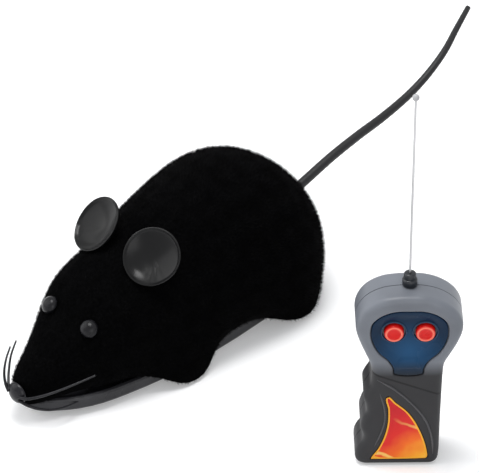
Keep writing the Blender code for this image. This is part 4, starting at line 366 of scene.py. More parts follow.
def worked_metal(name, colour, roughness, stretch=(1.0, 1.0, 1.0)):
    """Drawn, turned or plated metal with fine marks along its working direction."""
    finish = Finish(name, colour, roughness, 1.0)
    marks = finish.noise(900.0, 3.0, 0.6, stretch)
    finish.feed("Roughness", marks * 0.25 + (roughness - 0.1))
    finish.paint(marks.between(0.3, 0.8), [0.8 * c for c in colour], colour)
    finish.bump(marks, 0.12, 0.05 * MM)
    return finish


chassis_grey = grained(
    "chassis grey", (0.014, 0.014, 0.016), 0.30, 0.18, drift=0.10, lighter=2.2, specular=0.28
)
ear_rubber = soft_rubber("ear rubber", (0.0030, 0.0031, 0.0034), 0.25, 0.10, 0.05, 0.19)
nose_rubber = soft_rubber("nose rubber", (0.008, 0.008, 0.010), 0.26, 0.10, 0.06, 0.22)
tail_rubber = soft_rubber("tail rubber", (0.010, 0.010, 0.011), 0.42, 0.14, 0.06, 0.28)
tyre_rubber = grained("tyre rubber", (0.016, 0.016, 0.017), 0.75, 0.4, 1800.0)
gear_white = grained(
    "natural white plastic", (0.72, 0.70, 0.65), 0.42, 0.10, FINE_GRAIN, 0.05, 1.08
)
chip_black = grained("moulded black", (0.016, 0.016, 0.018), 0.45, 0.3)
tip_grey = grained(
    "pale grey bead", (0.36, 0.36, 0.37), 0.24, 0.04, FINE_GRAIN, 0.04, 1.05, specular=0.45
)
steel = worked_metal("drawn steel", (0.58, 0.58, 0.57), 0.34, (6.0, 1.0, 1.0))
plated = worked_metal("plated sheet", (0.66, 0.65, 0.61), 0.28)
zinc = worked_metal("zinc screw", (0.56, 0.57, 0.58), 0.36)
brass = worked_metal("turned brass", (0.74, 0.54, 0.26), 0.30)
wire_steel = worked_metal("aerial wire", (0.52, 0.52, 0.53), 0.32, (1.0, 1.0, 0.1))
print("plain finishes:", len(bpy.data.materials))

# %% [markdown]
# The coat is flock: nylon fibres under a millimetre long, shot upright into glue. From a step
# away it is the blackest thing on the toy. The skin under the fibres is nearly black and quite
# dull. A bead is the opposite, hard and polished, with faint scuffs that spread its glint.

# %% Flock, beads, cells and boards
flock_skin = Finish("flock ground", (0.0010, 0.0010, 0.0011), 0.95, specular=0.02)
tuft = flock_skin.noise(900.0, 3.0, 0.7)
flock_skin.paint(tuft.between(0.35, 0.7), (0.0004, 0.0004, 0.0005), (0.0018, 0.0018, 0.0020))
flock_skin.bump(tuft, 0.6, 0.3 * MM)

bead_black = Finish("polished bead", (0.006, 0.006, 0.007), 0.24, specular=0.17)
scuff = bead_black.noise(300.0, 4.0, 0.6)
bead_black.feed("Roughness", scuff * 0.16 + 0.18)
bead_black.paint(scuff.between(0.4, 0.7), (0.004, 0.004, 0.005), (0.012, 0.012, 0.014))

WRAP_GREEN = (0.03, 0.12, 0.06)
cell_wrap = Finish("cell wrap", WRAP_GREEN, 0.28, coat=0.5)
band = cell_wrap.axis("Y") * 40.0 + cell_wrap.axis("Z") * 40.0
printed_band = band.math("FRACT") > 0.72
cell_wrap.paint(printed_band, WRAP_GREEN, (0.55, 0.50, 0.36))

BOARD_GREEN = (0.03, 0.14, 0.06)
board_coat = Finish("coated board", BOARD_GREEN, 0.35, coat=0.4)
grid = {"Vector": board_coat.place(), "Scale": 260.0, "Mortar Size": 0.06}
tracks = board_coat.node("ShaderNodeTexBrick", inputs=grid, output="Fac")
board_coat.paint(tracks, BOARD_GREEN, (0.10, 0.30, 0.12))
board_coat.bump(tracks, 0.3, 0.05 * MM)
print("finishes:", len(bpy.data.materials))

# %% [markdown]
# The transmitter is moulded in charcoal plastic. Its head is a lighter, smoother grey that
# fades into the charcoal across the neck, and a fine groove, with painted shade in it, slants
# over the grip just below.
# Both tones are one finish with two masks, the height and the height above the groove, which
# are read on the piece itself.

# %% Two-tone transmitter plastic
FACE_RIGHT = transmitter.to_3x3() @ Vector((1, 0, 0)) / MM
JOINT_LINE = ((-12.4, 40.7), (11.7, 31.1))
GROOVE_HALF = 0.42
NECK_FADE = (39.6, 45.6)


def grip_place(finish):
    """How far a point is to the right of the transmitter's middle and above its foot, in mm."""
    x = finish.axis("X") - aerial.x
    y = finish.axis("Y") - aerial.y
    return (x * FACE_RIGHT.x + y * FACE_RIGHT.y) / MM, finish.axis("Z") / MM


charcoal = Finish("transmitter plastic", (0.055, 0.055, 0.059), 0.42, specular=0.26)
across, up = grip_place(charcoal)
(left_x, left_z), (right_x, right_z) = JOINT_LINE
fall = (right_z - left_z) / (right_x - left_x)
above = up - (across * fall + (left_z - fall * left_x))
head = above.between(-0.2, 0.2) * up.between(*NECK_FADE)
groove_and_shade = above.math("ABSOLUTE") < GROOVE_HALF
grain = charcoal.noise(2600.0, 2.0)
broad = charcoal.noise(45.0, 3.0).between(0.3, 0.8)
grip_tone = charcoal.mix(broad, (0.017, 0.017, 0.019), (0.027, 0.027, 0.029))
head_tone = charcoal.mix(broad, (0.125, 0.134, 0.152), (0.170, 0.184, 0.210))
tone = charcoal.mix(head, grip_tone, head_tone)
# The groove is painted nearly black: painted shade in the groove.
charcoal.paint(groove_and_shade, tone, (0.004, 0.004, 0.005))
charcoal.feed("Roughness", 0.5 - head * 0.14 + broad * 0.05)
charcoal.bump(grain * (1.0 - head * 0.6) - groove_and_shade * 2.0, 0.25, GRAIN_DEPTH)

ridge_grey = grained("ridge plastic", (0.045, 0.045, 0.049), 0.36, 0.15, specular=0.45)
collar_black = grained("collar plastic", (0.006, 0.008, 0.012), 0.30, 0.08, specular=0.40)
print("charcoal nodes:", len(charcoal.tree.nodes))

# %% [markdown]
# The buttons are clear red plastic, and their raised lip gets a painted highlight, a paler
# ring than the middle, from a ring mask round each button's axis. A fainter one paints a
# highlight on the ring of the panel. One function gives both the distance that they need.

# %% Button plastic
BUTTON_OUT = 5.365
BUTTON_SPOTS = (("left", -BUTTON_OUT), ("right", BUTTON_OUT))
BUTTON_UP = 58.29
RING_BLUR = 0.15


def ring_at(finish, inner, outer):
    """A soft ring between two radii, in mm, round the axis of the nearer button."""
    across, up = grip_place(finish)
    radius = (across.math("ABSOLUTE") - BUTTON_OUT).far(up - BUTTON_UP)
    starts, ends = (radius.between(at - RING_BLUR, at + RING_BLUR) for at in (inner, outer))
    return starts * (1.0 - ends)


button_red = Finish("red button plastic", (0.62, 0.006, 0.004), 0.28, specular=0.22)
cloud = button_red.noise(60.0, 3.0)
red_tone = button_red.mix(cloud.between(0.35, 0.75), (0.60, 0.006, 0.004), (0.68, 0.007, 0.005))
# Painted highlight: the raised lip is painted paler than the middle.
lip_highlight = ring_at(button_red, 2.35, 3.0)
button_red.paint(lip_highlight * 0.85, red_tone, (0.88, 0.20, 0.13))
button_red.feed("Roughness", cloud * 0.08 + 0.24)
button_red.bump(button_red.noise(1800.0, 2.0), 0.05, GRAIN_DEPTH)
print("button nodes:", len(button_red.tree.nodes))

# %% [markdown]
# The thumb panel is a darker, glossier blue. A painted glow makes it brighter in the middle
# of the dish and nearly navy towards the rim and the buttons, over a faint random drift of
# the dye, and across the neck it fades to grey. A soft mask by the distance from the dish's
# middle and one by the height do that, and the ring mask paints a highlight on the raised
# ring round each button.

# %% Panel plastic
DISH_MIDDLE_UP = 50.0
DISH_GLOW_REACH = (1.0, 13.0)

panel_blue = Finish("panel plastic", (0.005, 0.036, 0.082), 0.26, specular=0.13)
across, up = grip_place(panel_blue)
# Painted light: a glow that is brightest in the middle of the dish and dark at its rim.
dish_glow = 1.0 - across.far(up - DISH_MIDDLE_UP).between(*DISH_GLOW_REACH)
drift = panel_blue.noise(90.0, 3.0)
glow_and_dye = dish_glow * 0.8 + drift * 0.2
panel_tone = panel_blue.mix(glow_and_dye, (0.002, 0.013, 0.034), (0.008, 0.064, 0.160))
panel_tone = panel_blue.mix(up.between(*NECK_FADE), (0.016, 0.021, 0.028), panel_tone)
# Painted highlight on the raised ring round each button.
ring_highlight = ring_at(panel_blue, 4.1, 4.5) * 0.7
panel_blue.paint(ring_highlight, panel_tone, (0.045, 0.080, 0.135))
panel_blue.feed("Roughness", drift * 0.12 + 0.20)
panel_blue.bump(panel_blue.noise(2200.0, 2.0), 0.06, 0.1 * MM)
print("panel nodes:", len(panel_blue.tree.nodes))

# %% [markdown]
# The grip's window holds a printed film in hot colours. The print here is a plain one: red
# fading through orange to yellow towards the foot, with a few bent light rays. An image could
# carry it, but it is all sums of two lengths, across and up. The narrow border is a flat
# orange ink of its own.

# %% Printed label
HEAT_STOPS = (
    (0.0, (0.52, 0.004, 0.01)),
    (0.35, (0.66, 0.016, 0.01)),
    (0.6, (0.82, 0.14, 0.01)),
    (0.84, (0.88, 0.38, 0.02)),
    (1.0, (0.92, 0.62, 0.08)),
)
label = Finish("printed film", (0.85, 0.25, 0.04), 0.25, specular=0.25)
across, up = grip_place(label)
wander = label.noise(160.0, 2.0)
heat = ((across * 0.75 - up + 26.0) / 30.0 + wander * 0.25 - 0.12).between(0.0, 1.0)
print_colour = label.node("ShaderNodeValToRGB", {"stops": HEAT_STOPS}, {0: heat})
bend = across * 0.55 + up * 0.85 + wander * 4.0
coarse = (bend * 0.37 + 1.1).math("SINE").between(0.0, 0.8)
rays = (bend * 1.15).math("SINE").between(0.55, 0.98) * coarse
fade = (across * 0.6 - up + 24.0).between(0.0, 12.0)
label.paint(rays * fade * 0.75, print_colour, (0.90, 0.66, 0.16))
label.feed("Roughness", wander * 0.1 + 0.2)
label_border = grained(
    "label border ink", (0.80, 0.36, 0.02), 0.28, 0.05, 1800.0, 0.05, 1.1, specular=0.25
)
print("label nodes:", len(label.tree.nodes))

# %% [markdown]
# Each CAD part already carries its material slot's name, so one table gives every part its
# finish. Reassigning slots, and not adding new meshes, keeps small parts exactly as built.

# %% Dress the CAD parts
SLOT_FINISH = dict(
    flocked_shell=flock_skin,
    chassis_plastic=chassis_grey,
    screw_steel=zinc,
    cell=cell_wrap,
    contact_steel=plated,
    axle_steel=steel,
    gear_plastic=gear_white,
    motor_metal=plated,
    brass=brass,
    tyre=tyre_rubber,
    board=board_coat,
    chip=chip_black,
    soft_rubber=tail_rubber,
    bead=bead_black,
    remote_plastic=charcoal,
    panel_plastic=panel_blue,
    printed_film=label,
    button_plastic=button_red,
    aerial_steel=wire_steel,
    tip_plastic=tip_grey,
)
for subpart in frame["record"]["subparts"]:
    node = frame["nodes"][subpart["node"]]
    node.data.materials.clear()
    node.data.materials.append(SLOT_FINISH[subpart["material_slot"]].material)

# %% [markdown]
# ## Floor, light and camera
# The toy is shown on a bare white sweep in even light. The floor's own colour is pale, and only
# the camera sees it lifted to white, so that the lift never lights the toy and the soft shadow
# under the mouse stays. The world is white to the camera and a dim grey to the toy.

# %% White floor and world
REACH = 6.0
FLOOR_TOP = -0.05 * MM
CORNERS = ((-REACH, -REACH), (REACH, -REACH), (REACH, REACH), (-REACH, REACH))

floor = bpy.data.meshes.new("floor")
floor.from_pydata([(x, y, FLOOR_TOP) for x, y in CORNERS], [], [(0, 1, 2, 3)])
sheet = put("floor", floor)
pale = Finish("white floor", (0.86, 0.86, 0.86), 0.9)
far = pale.axis("X").far(pale.axis("Y")).between(0.25, 0.9)
lift = pale.mix(far, (0.22, 0.22, 0.22), (0.75, 0.75, 0.75))
pale.feed("Emission Color", pale.mix(pale.seen(), (0.0, 0.0, 0.0), lift))
pale.feed("Emission Strength", 1.0)
floor.materials.append(pale.material)

world = bpy.data.worlds.new("studio")
bpy.context.scene.world = world
world.use_nodes = True
sky = Nodes(world.node_tree)
background = sky.tree.nodes["Background"].inputs
sky.join(background["Color"], sky.mix(sky.seen(), (0.55, 0.56, 0.58), (1.0, 1.0, 1.0)))
sky.join(background["Strength"], 1.0)
print("sky nodes:", len(sky.tree.nodes))

# %% [markdown]
# Three soft panels stand round the set: the main one overhead, which puts the glint on the eyes
# and low in the cups of the ears, one at the left and a weak one at the right.

# %% Soft panels
def aimed(made, place, ahead):
    """Put a lamp or a camera in place, looking along a direction."""
    made.location = place
    made.rotation_euler = ahead.to_track_quat("-Z", "Y").to_euler()


def soft_panel(name, place, aim, size, power):
    data = bpy.data.lights.new(name, "AREA")
    data.shape = "SQUARE"
    data.size = size
    data.energy = power
    aimed(put(name, data), place, Vector(aim) - Vector(place))


soft_panel("overhead", (-0.12, -0.08, 1.00), (0, 0, 0.02), 0.45, 7.0)
soft_panel("left window", (-0.75, -0.55, 0.60), (0, 0, 0.03), 1.00, 4.5)
soft_panel("right fill", (0.80, -0.45, 0.40), (0, 0, 0.03), 0.60, 2.0)

# %% [markdown]
# The camera stands in front and to the left of the mouse, above it, with a long lens, as a
# catalogue camera does. Its place was worked out from the mouse's outline in the photo.

# %% Camera
AZIMUTH = math.radians(44.16)
ELEVATION = math.radians(36.769)
DISTANCE = 1.4
AIM = (3.994, 106.954, 25.0)
PIXELS_PER_MM = 2.742
FRAME_PIXELS = 479

level = math.cos(ELEVATION)
back = Vector((math.sin(AZIMUTH) * level, -math.cos(AZIMUTH) * level, math.sin(ELEVATION)))
lens = bpy.data.cameras.new("catalogue lens")
lens.sensor_width = 36.0
lens.lens = PIXELS_PER_MM * DISTANCE / MM * lens.sensor_width / FRAME_PIXELS
lens.clip_start = 0.05
lens.clip_end = 20.0
camera = put("catalogue camera", lens)
aimed(camera, mouse @ Vector(AIM) + back * DISTANCE, -back)
bpy.context.scene.camera = camera
bpy.context.scene.view_settings.view_transform = "Standard"
print("lens, mm:", round(lens.lens, 1))

# %% [markdown]
# ## Ears
# Each ear is a soft rubber cup on a short neck, with a rolled rim and a few folds where the
# mould gathers it at the bottom. A turned cup is too regular, so its rings are warped: the
# folds are waves in height that fade towards the middle and round the cup.

# %% Profile of an ear
EAR_RADIUS = 10.6
EAR_BOWL = 3.0
EAR_SKIN = 1.2
BOWL_EDGE = 9.5
EAR_LIP = (
    (9.8, -0.3), (10.05, -0.02), (10.28, 0.14), (10.48, 0.1),
    (10.6, -0.1), (10.55, -0.42), (10.3, -0.85),
)
EAR_STEM = ((3.6, -4.2), (2.2, -5.16), (2.2, -9.0), (2.2, -13.6), (1.8, -14.0), (0.0, -14.0))


def bowl(radius):
    return -EAR_BOWL * (1 - (radius / EAR_RADIUS) ** 2)


inside = [(radius, bowl(radius)) for radius in BOWL_EDGE * np.arange(21) / 20]
under = [(radius, bowl(radius) - EAR_SKIN) for radius in EAR_RADIUS * np.arange(11, 4, -1) / 12]
ear_profile = [*inside, *EAR_LIP, *under, *EAR_STEM]
print("ear profile points:", len(ear_profile))

# %% Ears
EAR_PLACE = (14.0, 52.3, 50.6)
EAR_NORMAL = (0.27, -0.65, 0.71)
STEM_TOP = -4.5
FOLDS_AT = 0.75
DENT_AT = -0.70
FOLD_HEIGHT = 0.154
DENT_DEPTH = 0.42
WAVER = 0.14
PINCH = 0.030
SIDES = ((1, "left"), (-1, "right"))


def hump(value, middle, width):
    """1 at the middle, and nearly 0 two widths away from it."""
    return math.exp(-(((value - middle) / width) ** 2))


def ear_warp(side):
    """Folds at the lower outer part of the cup, a dent beside them and a waver of the lip."""
    def warp(radius, height, angle):
        share = radius / EAR_RADIUS
        if height < STEM_TOP or share < 0.02:
            return radius, height
        turn = side * math.atan2(math.sin(angle), math.cos(angle))
        near = hump(turn, FOLDS_AT, 0.55)
        folds = FOLD_HEIGHT * math.cos(turn * 17.0 + 0.8) * near * share * max(1.25 - share, 0.0)
        dent = DENT_DEPTH * hump(turn, DENT_AT, 0.60) * hump(share, 0.72, 0.20)
        waver = WAVER * math.sin(3 * turn + 0.6) * share**3
        return radius * (1 - PINCH * near * share**2), height + folds - dent + waver
    return warp


def leaning(place, normal, side):
    """The frame of a piece that stands on a place, its first axis towards the floor."""
    spot = Vector((side * place[0], *place[1:]))
    out = Vector((side * normal[0], *normal[1:])).normalized()
    down = (Vector((0, 0, -1)) + out * out.z).normalized()
    turn = Matrix((down, out.cross(down), out)).transposed().to_4x4()
    return mouse @ Matrix.Translation(spot) @ turn


for side, name in SIDES:
    cup = turned(ear_profile, 120, ear_warp(side))
    spot = leaning(EAR_PLACE, EAR_NORMAL, side)
    piece("rubber_ear_" + name, cup, spot, "mouse", ear_rubber, ["ear_" + name])

# %% [markdown]
# ## Eyes, nose and whiskers
# The eyes are domed beads and the nose a rubber cap that is moulded in one with four stiff
# whiskers. Beads need many steps round, because their glint shows every flat.

# %% Eyes and nose
EYE_PLACE = (9.9, 25.2, 31.4)
EYE_NORMAL = (0.28, -0.67, 0.69)
EYE_RADIUS = 3.3
EYE_HEIGHT = 2.6
EYE_FOOT = ((3.2, -0.3), (2.97, -0.52), (1.4, -0.65), (1.4, -5.8), (1.2, -6.0), (0.0, -6.0))
NOSE_PLACE = (0.0, -0.6, 12.2)
NOSE_RADIUS = 4.1
NOSE_REACH = 2.6
NOSE_FOOT = ((4.0, -0.18), (3.69, -0.3), (2.4, -0.3), (2.4, -6.3), (0.0, -6.5))
FORWARD = Matrix.Rotation(math.pi / 2, 4, "X")


def dome(radius, height, steps=14):
    """The profile of a dome, from its top to its rim."""
    turns = [math.pi / 2 * k / steps for k in range(steps + 1)]
    return [(radius * math.sin(turn), height * math.cos(turn)) for turn in turns]


for side, name in SIDES:
    bead = turned([*dome(EYE_RADIUS, EYE_HEIGHT), *EYE_FOOT], 64)
    spot = leaning(EYE_PLACE, EYE_NORMAL, side)
    piece("bead_eye_" + name, bead, spot, "mouse", bead_black, ["eye_" + name])

cap = turned([*dome(NOSE_RADIUS, NOSE_REACH), *NOSE_FOOT], 64)
snout = mouse @ Matrix.Translation(NOSE_PLACE) @ FORWARD
piece("nose_cap", cap, snout, "mouse", nose_rubber, ["nose_and_whiskers"])

# %% Whiskers
WHISKERS = {
    "left_upper": (
        (2.4, -2.7, 12.6), (6.0, -1.4, 13.2), (9.8, 2.8, 14.4),
        (13.0, 7.8, 15.8), (16.0, 13.4, 17.4), (18.8, 19.2, 19.0),
    ),
    "left_lower": (
        (2.4, -2.7, 11.2), (5.8, -1.4, 10.0), (8.8, 1.2, 8.6),
        (11.2, 5.4, 7.2), (12.6, 10.6, 6.4), (13.4, 15.6, 6.2),
    ),
    "right_upper": (
        (-2.2, -2.6, 13.2), (-4.8, -0.6, 14.2), (-7.8, 2.6, 16.6),
        (-10.4, 6.2, 19.4), (-12.6, 10.8, 22.0),
    ),
    "right_lower": (
        (-2.4, -2.8, 12.6), (-4.6, -2.2, 14.8), (-6.8, -0.6, 17.4),
        (-9.2, 2.6, 20.0), (-11.6, 7.0, 22.0),
    ),
}
WHISKER_ROOT = 0.62
WHISKER_TAPER = 0.30
for name, route in WHISKERS.items():
    line = smooth_line(route, 8)
    last = len(line) - 1
    thin = [WHISKER_ROOT - WHISKER_TAPER * k / last for k in range(last + 1)]
    strand = swept(line, thin, 10, across=(0, 0, 1))
    piece("whisker_" + name, strand, mouse, "mouse", nose_rubber)

# %% [markdown]
# ## Tail
# One soft rubber moulding, thick at the root and thin at the tip, with the faint rings that a
# long thin mould leaves. The rings are real ripples of its radius, a few hundredths deep.

# %% Tail
TAIL = (
    (133.0, 24.9), (138.5, 26.2), (146.0, 28.0), (160.0, 31.4), (174.0, 33.7), (188.6, 35.4),
    (202.8, 38.4), (213.5, 42.7), (222.6, 48.7), (229.0, 55.7), (235.7, 62.8),
)
TAIL_ROOT = 1.85
TAIL_TAPER = 0.85
TAIL_TIP = 0.65
TAIL_RING = 0.03

line = smooth_line([(0, y, z) for y, z in TAIL], 24)
last = len(line) - 1
radii = []
for k in range(last):
    ripple = TAIL_RING * math.sin(k * 1.35) * (1 - 0.5 * k / last)
    radii.append(TAIL_ROOT - TAIL_TAPER * (k / last) ** 2.2 + ripple)
radii.append(TAIL_TIP)
tail = swept(line, radii, 28)
piece("rubber_tail", tail, mouse, "mouse", tail_rubber, ["tail"])

# %% [markdown]
# ## Flock coat
# Every fibre of real flock is far below a pixel, but together they blur the outline. A hair
# system would not survive as a mesh, so each fibre is a thin three-sided spike, spread evenly by
# area over the shell's outer side and leaning back towards the tail. No texture map has a pixel
# for each of so many faces, so a fibre has one of three near blacks, and clumps of like fibres
# make the pattern.

# %% Sample the outer skin
BODY_LENGTH = 139.0
CORE_ENDS = (22.0, 118.0)
CORE_UP = 18.0


def outer_triangles(node):
    """Corners, area and normal of the triangles that face away from the body's middle line."""
    mesh = node.data
    mesh.calc_loop_triangles()
    points = np.array([vertex.co for vertex in mesh.vertices])
    corners = points[np.array([triangle.vertices for triangle in mesh.loop_triangles])]
    cross = np.cross(corners[:, 1] - corners[:, 0], corners[:, 2] - corners[:, 0])
    area = np.linalg.norm(cross, axis=1) / 2
    normal = cross / np.maximum(2 * area[:, None], 1e-15)
    centre = corners.mean(1)
    first, last = mouse.translation.y + np.array(CORE_ENDS) * MM
    core = np.full_like(centre, CORE_UP * MM)
    core[:, 0] = axle.x
    core[:, 1] = np.clip(centre[:, 1], first, last)
    outer = ((centre - core) * normal).sum(1) > 0
    clear_of_screws = np.abs(normal[:, 2] + 1) > 0.02
    keep = outer & clear_of_screws & (area > 0)
    return corners[keep], area[keep], normal[keep]


corners, area, normal = outer_triangles(frame["nodes"]["body_shell"])
print("outer skin, cm2:", round(area.sum() * 1e4, 1))

# %% Grow the fibres
FIBRES = 62000
FIBRE_LENGTH = (0.55, 1.15)
RUMP_LONGER = 0.85
FIBRE_WIDTH = 0.085
ROOT_SINK = 0.15
LAY = (0.0, 0.55, -0.12)
TOUSLE = 0.33
OFF_THE_FLOOR = 0.05 * MM
rng = np.random.default_rng(7)


def unit(rows):
    return rows / np.linalg.norm(rows, axis=1)[:, None]


def grow(count):
    """Points and faces of the spikes."""
    pick = rng.choice(len(area), count, p=area / area.sum())
    a, b = rng.random(count), rng.random(count)
    fold = a + b > 1
    a[fold], b[fold] = 1 - a[fold], 1 - b[fold]
    tri = corners[pick]
    root = tri[:, 0] + a[:, None] * (tri[:, 1] - tri[:, 0]) + b[:, None] * (tri[:, 2] - tri[:, 0])
    out = normal[pick]
    lay = np.array(LAY) + rng.normal(0, TOUSLE, (count, 3))
    aim = unit(out + lay - (lay * out).sum(1)[:, None] * out)
    side = unit(np.cross(aim, rng.normal(0, 1, (count, 3))))
    other = np.cross(aim, side)
    behind = np.clip((root[:, 1] - mouse.translation.y) / MM / BODY_LENGTH, 0, 1)
    length = rng.uniform(*FIBRE_LENGTH, count) * (1 + RUMP_LONGER * behind**2)
    width = FIBRE_WIDTH * MM
    base = root - out * ROOT_SINK * MM
    turns = (0.0, 2 * math.pi / 3, 4 * math.pi / 3)
    rim = [base + width * (side * math.cos(turn) + other * math.sin(turn)) for turn in turns]
    tip = root + aim * (length[:, None] * MM)
    tip[:, 2] = np.maximum(tip[:, 2], OFF_THE_FLOOR)
    points = np.stack([*rim, tip], 1).reshape(-1, 3)
    first = np.arange(count)[:, None] * 4
    faces = np.concatenate([first + [0, 1, 3], first + [1, 2, 3], first + [2, 0, 3]])
    return points, faces


points, faces = grow(FIBRES)
print("fibres:", FIBRES, "faces:", len(faces))

# %% Tones of the fibres
FIBRE_TONES = (("dark", 0.0009), ("middle", 0.0022), ("light", 0.0042))
CLUMPS_PER_MM = 0.7


def clumps(root):
    """Which of the three tones each fibre has: waves of about 9 mm, blurred by chance."""
    x, y, z = (root / MM * CLUMPS_PER_MM).T
    wave = np.sin(x + 1.3 * np.sin(0.6 * y)) + np.sin(y + 1.7 * np.sin(0.5 * z)) + np.sin(z)
    return np.clip((wave + rng.normal(0, 0.8, len(root)) + 1.5).astype(int), 0, 2)


mesh = bpy.data.meshes.new("flock_coat")
mesh.from_pydata(points, [], faces, shade_flat=False)
mesh.polygons.foreach_set("material_index", np.tile(clumps(points[::4]), 3).astype(np.int32))
for name, tone in FIBRE_TONES:
    fibre = Finish("flock fibre " + name, (tone, tone, 1.08 * tone), 0.85, specular=0.03)
    mesh.materials.append(fibre.material)
coat = put("flock_coat", mesh)
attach(coat, "mouse")
print("tones:", len(mesh.materials))

# %% [markdown]
# ## Transmitter shells
# The two halves are moulded plates that turn round at the edge into a wall. As a solid, each is
# two height maps, one for the outside and one for the inside, joined along the rim. The maps are
# filled by a triangulation that keeps the edge of every recess, so those edges stay crisp, and
# rings of points near the rim draw its round. A bevel would do it too, but with fewer ways to
# soften just one edge.

# %% Outlines of the transmitter
TALL = 72.5
OUTLINE = (
    (0.0, 1.0), (0.075, 0.996), (0.15, 0.97), (0.214, 0.92), (0.248, 0.857),
    (0.25, 0.796), (0.229, 0.728), (0.195, 0.657), (0.171, 0.607), (0.165, 0.56),
    (0.162, 0.44), (0.16, 0.29), (0.159, 0.14), (0.158, 0.066), (0.15, 0.026),
    (0.128, 0.004), (0.096, 0.0), (0.05, 0.0), (-0.15, 0.0), (-0.198, 0.001),
    (-0.23, 0.018), (-0.243, 0.052), (-0.233, 0.094), (-0.211, 0.131), (-0.206, 0.17),
    (-0.22, 0.222), (-0.209, 0.274), (-0.194, 0.313), (-0.198, 0.357), (-0.208, 0.403),
    (-0.196, 0.438), (-0.176, 0.479), (-0.172, 0.546), (-0.178, 0.6), (-0.205, 0.668),
    (-0.234, 0.743), (-0.252, 0.818), (-0.239, 0.887), (-0.197, 0.946), (-0.13, 0.985),
    (-0.062, 0.998),
)
PANEL_RIGHT = (
    (0.0, 0.928), (0.065, 0.926), (0.125, 0.905), (0.172, 0.862), (0.185, 0.808),
    (0.176, 0.746), (0.144, 0.68), (0.098, 0.632), (0.076, 0.592), (0.064, 0.551),
)
WINDOW = (
    (-0.099, 0.422), (-0.05, 0.382), (0.0, 0.334), (0.038, 0.276), (0.068, 0.21),
    (0.092, 0.14), (0.106, 0.07), (0.104, 0.046), (0.088, 0.037), (-0.16, 0.035),
    (-0.172, 0.04), (-0.135, 0.105), (-0.108, 0.18), (-0.094, 0.26), (-0.094, 0.34),
)


def loop_through(shares, steps):
    """A closed smooth line through flat places, given as shares of the height."""
    places = [(across * TALL, up * TALL, 0.0) for across, up in shares]
    line = smooth_line([places[-1], *places, places[0], places[1]], steps)
    once_round = line[steps : steps * (len(places) + 1)]
    return np.array([(spot.x, max(spot.y, 0.0)) for spot in once_round])


def circle(across, up, radius, steps=48):
    turn = np.arange(steps) * 2 * math.pi / steps
    return np.stack([across + radius * np.cos(turn), up + radius * np.sin(turn)], 1)


def moved_in(loop, distance):
    """The loop moved towards its inside along its own normals."""
    after = np.roll(loop, -1, 0)
    along = unit(after - np.roll(loop, 1, 0))
    turn = np.sign((loop[:, 0] * after[:, 1] - after[:, 0] * loop[:, 1]).sum())
    return loop + distance * turn * np.stack([-along[:, 1], along[:, 0]], 1)


outline = loop_through(OUTLINE, 4)
panel_left = tuple((-across, up) for across, up in PANEL_RIGHT[:0:-1])
panel_edge = loop_through(PANEL_RIGHT + panel_left, 6)
window_edge = loop_through(WINDOW, 6)
print("outline points:", len(outline), "panel:", len(panel_edge), "window:", len(window_edge))

# %% Measures on a loop
def within(loop, spots):
    """Which spots lie inside a loop, by the even-odd rule."""
    (ax, az), (bx, bz) = loop.T, np.roll(loop, -1, 0).T
    x, z = spots[:, :1], spots[:, 1:]
    tall = np.where(bz == az, 1.0, bz - az)
    return (((az > z) != (bz > z)) & (x < (bx - ax) * (z - az) / tall + ax)).sum(1) % 2 == 1


def distance_to(loop, spots):
    along = np.roll(loop, -1, 0) - loop
    away = spots[:, None] - loop
    share = np.clip((away * along).sum(2) / np.maximum((along**2).sum(1), 1e-9), 0, 1)
    return np.linalg.norm(away - share[..., None] * along, axis=2).min(1)


print("least margin beside the window, mm:", distance_to(outline, window_edge).min().round(2))

# %% Fill between loops
EDGE_CLEAR = 0.45
COARSE = 3.0


def flat_at(depth):
    """The same depth at any spots."""
    return lambda spots: np.full(len(spots), depth)


def at_depth(loop, depth):
    """The points in space of a flat loop."""
    return np.stack([loop[:, 0], np.full(len(loop), depth), loop[:, 1]], 1)


def cover(edges, holes, depth_at, spacing):
    """A height map inside the first loop. Loops come with their depth, and a hole is left open."""
    loops = [loop for loop, _ in edges + holes]
    spots = np.concatenate(loops)
    depths = np.concatenate([np.full(len(loop), depth) for loop, depth in edges + holes])
    starts = np.cumsum([0] + [len(loop) for loop in loops])
    rings = [np.arange(start, start + len(loop)) for start, loop in zip(starts, loops)]
    links = [(int(a), int(b)) for ring in rings for a, b in zip(ring, np.roll(ring, -1))]
    spans = [np.arange(low, high, spacing) for low, high in zip(spots.min(0), spots.max(0))]
    grid = np.stack([side.ravel() for side in np.meshgrid(*spans)], 1)
    from_edge = np.min([distance_to(loop, grid) for loop in loops], 0)

    def open_at(places):
        blocked = [within(loop, places) for loop, _ in holes]
        return within(loops[0], places) & ~np.any(blocked, 0)

    grid = grid[open_at(grid) & (from_edge > spacing * EDGE_CLEAR)]
    spots = np.concatenate([spots, grid])
    depths = np.concatenate([depths, depth_at(grid)])
    found = delaunay_2d_cdt([Vector(spot) for spot in spots], links, [], 0, 1e-7)
    source = np.array([ids[0] for ids in found[3]])
    faces = source[np.array(found[2])]
    return at_depth(spots, depths), faces[open_at(spots[faces].mean(1))], rings


def strip(near, far):
    """Quads between two rings of the same count."""
    return np.stack([near, np.roll(near, -1), np.roll(far, -1), far], 1)


disc = cover([(circle(0, 0, 5.0), 0.0)], [], flat_at(0.0), COARSE)
print("triangles in a disc of 10 mm:", len(disc[1]))

# %% Solids made of two maps
DEEP = 17.0
WALL = 1.6
FRONT_WALL = 2.8
EDGE_ROUND = 2.6
SEAM = 0.15
ROUND_STEPS = (0, 12, 24, 36, 48, 60, 72, 90)


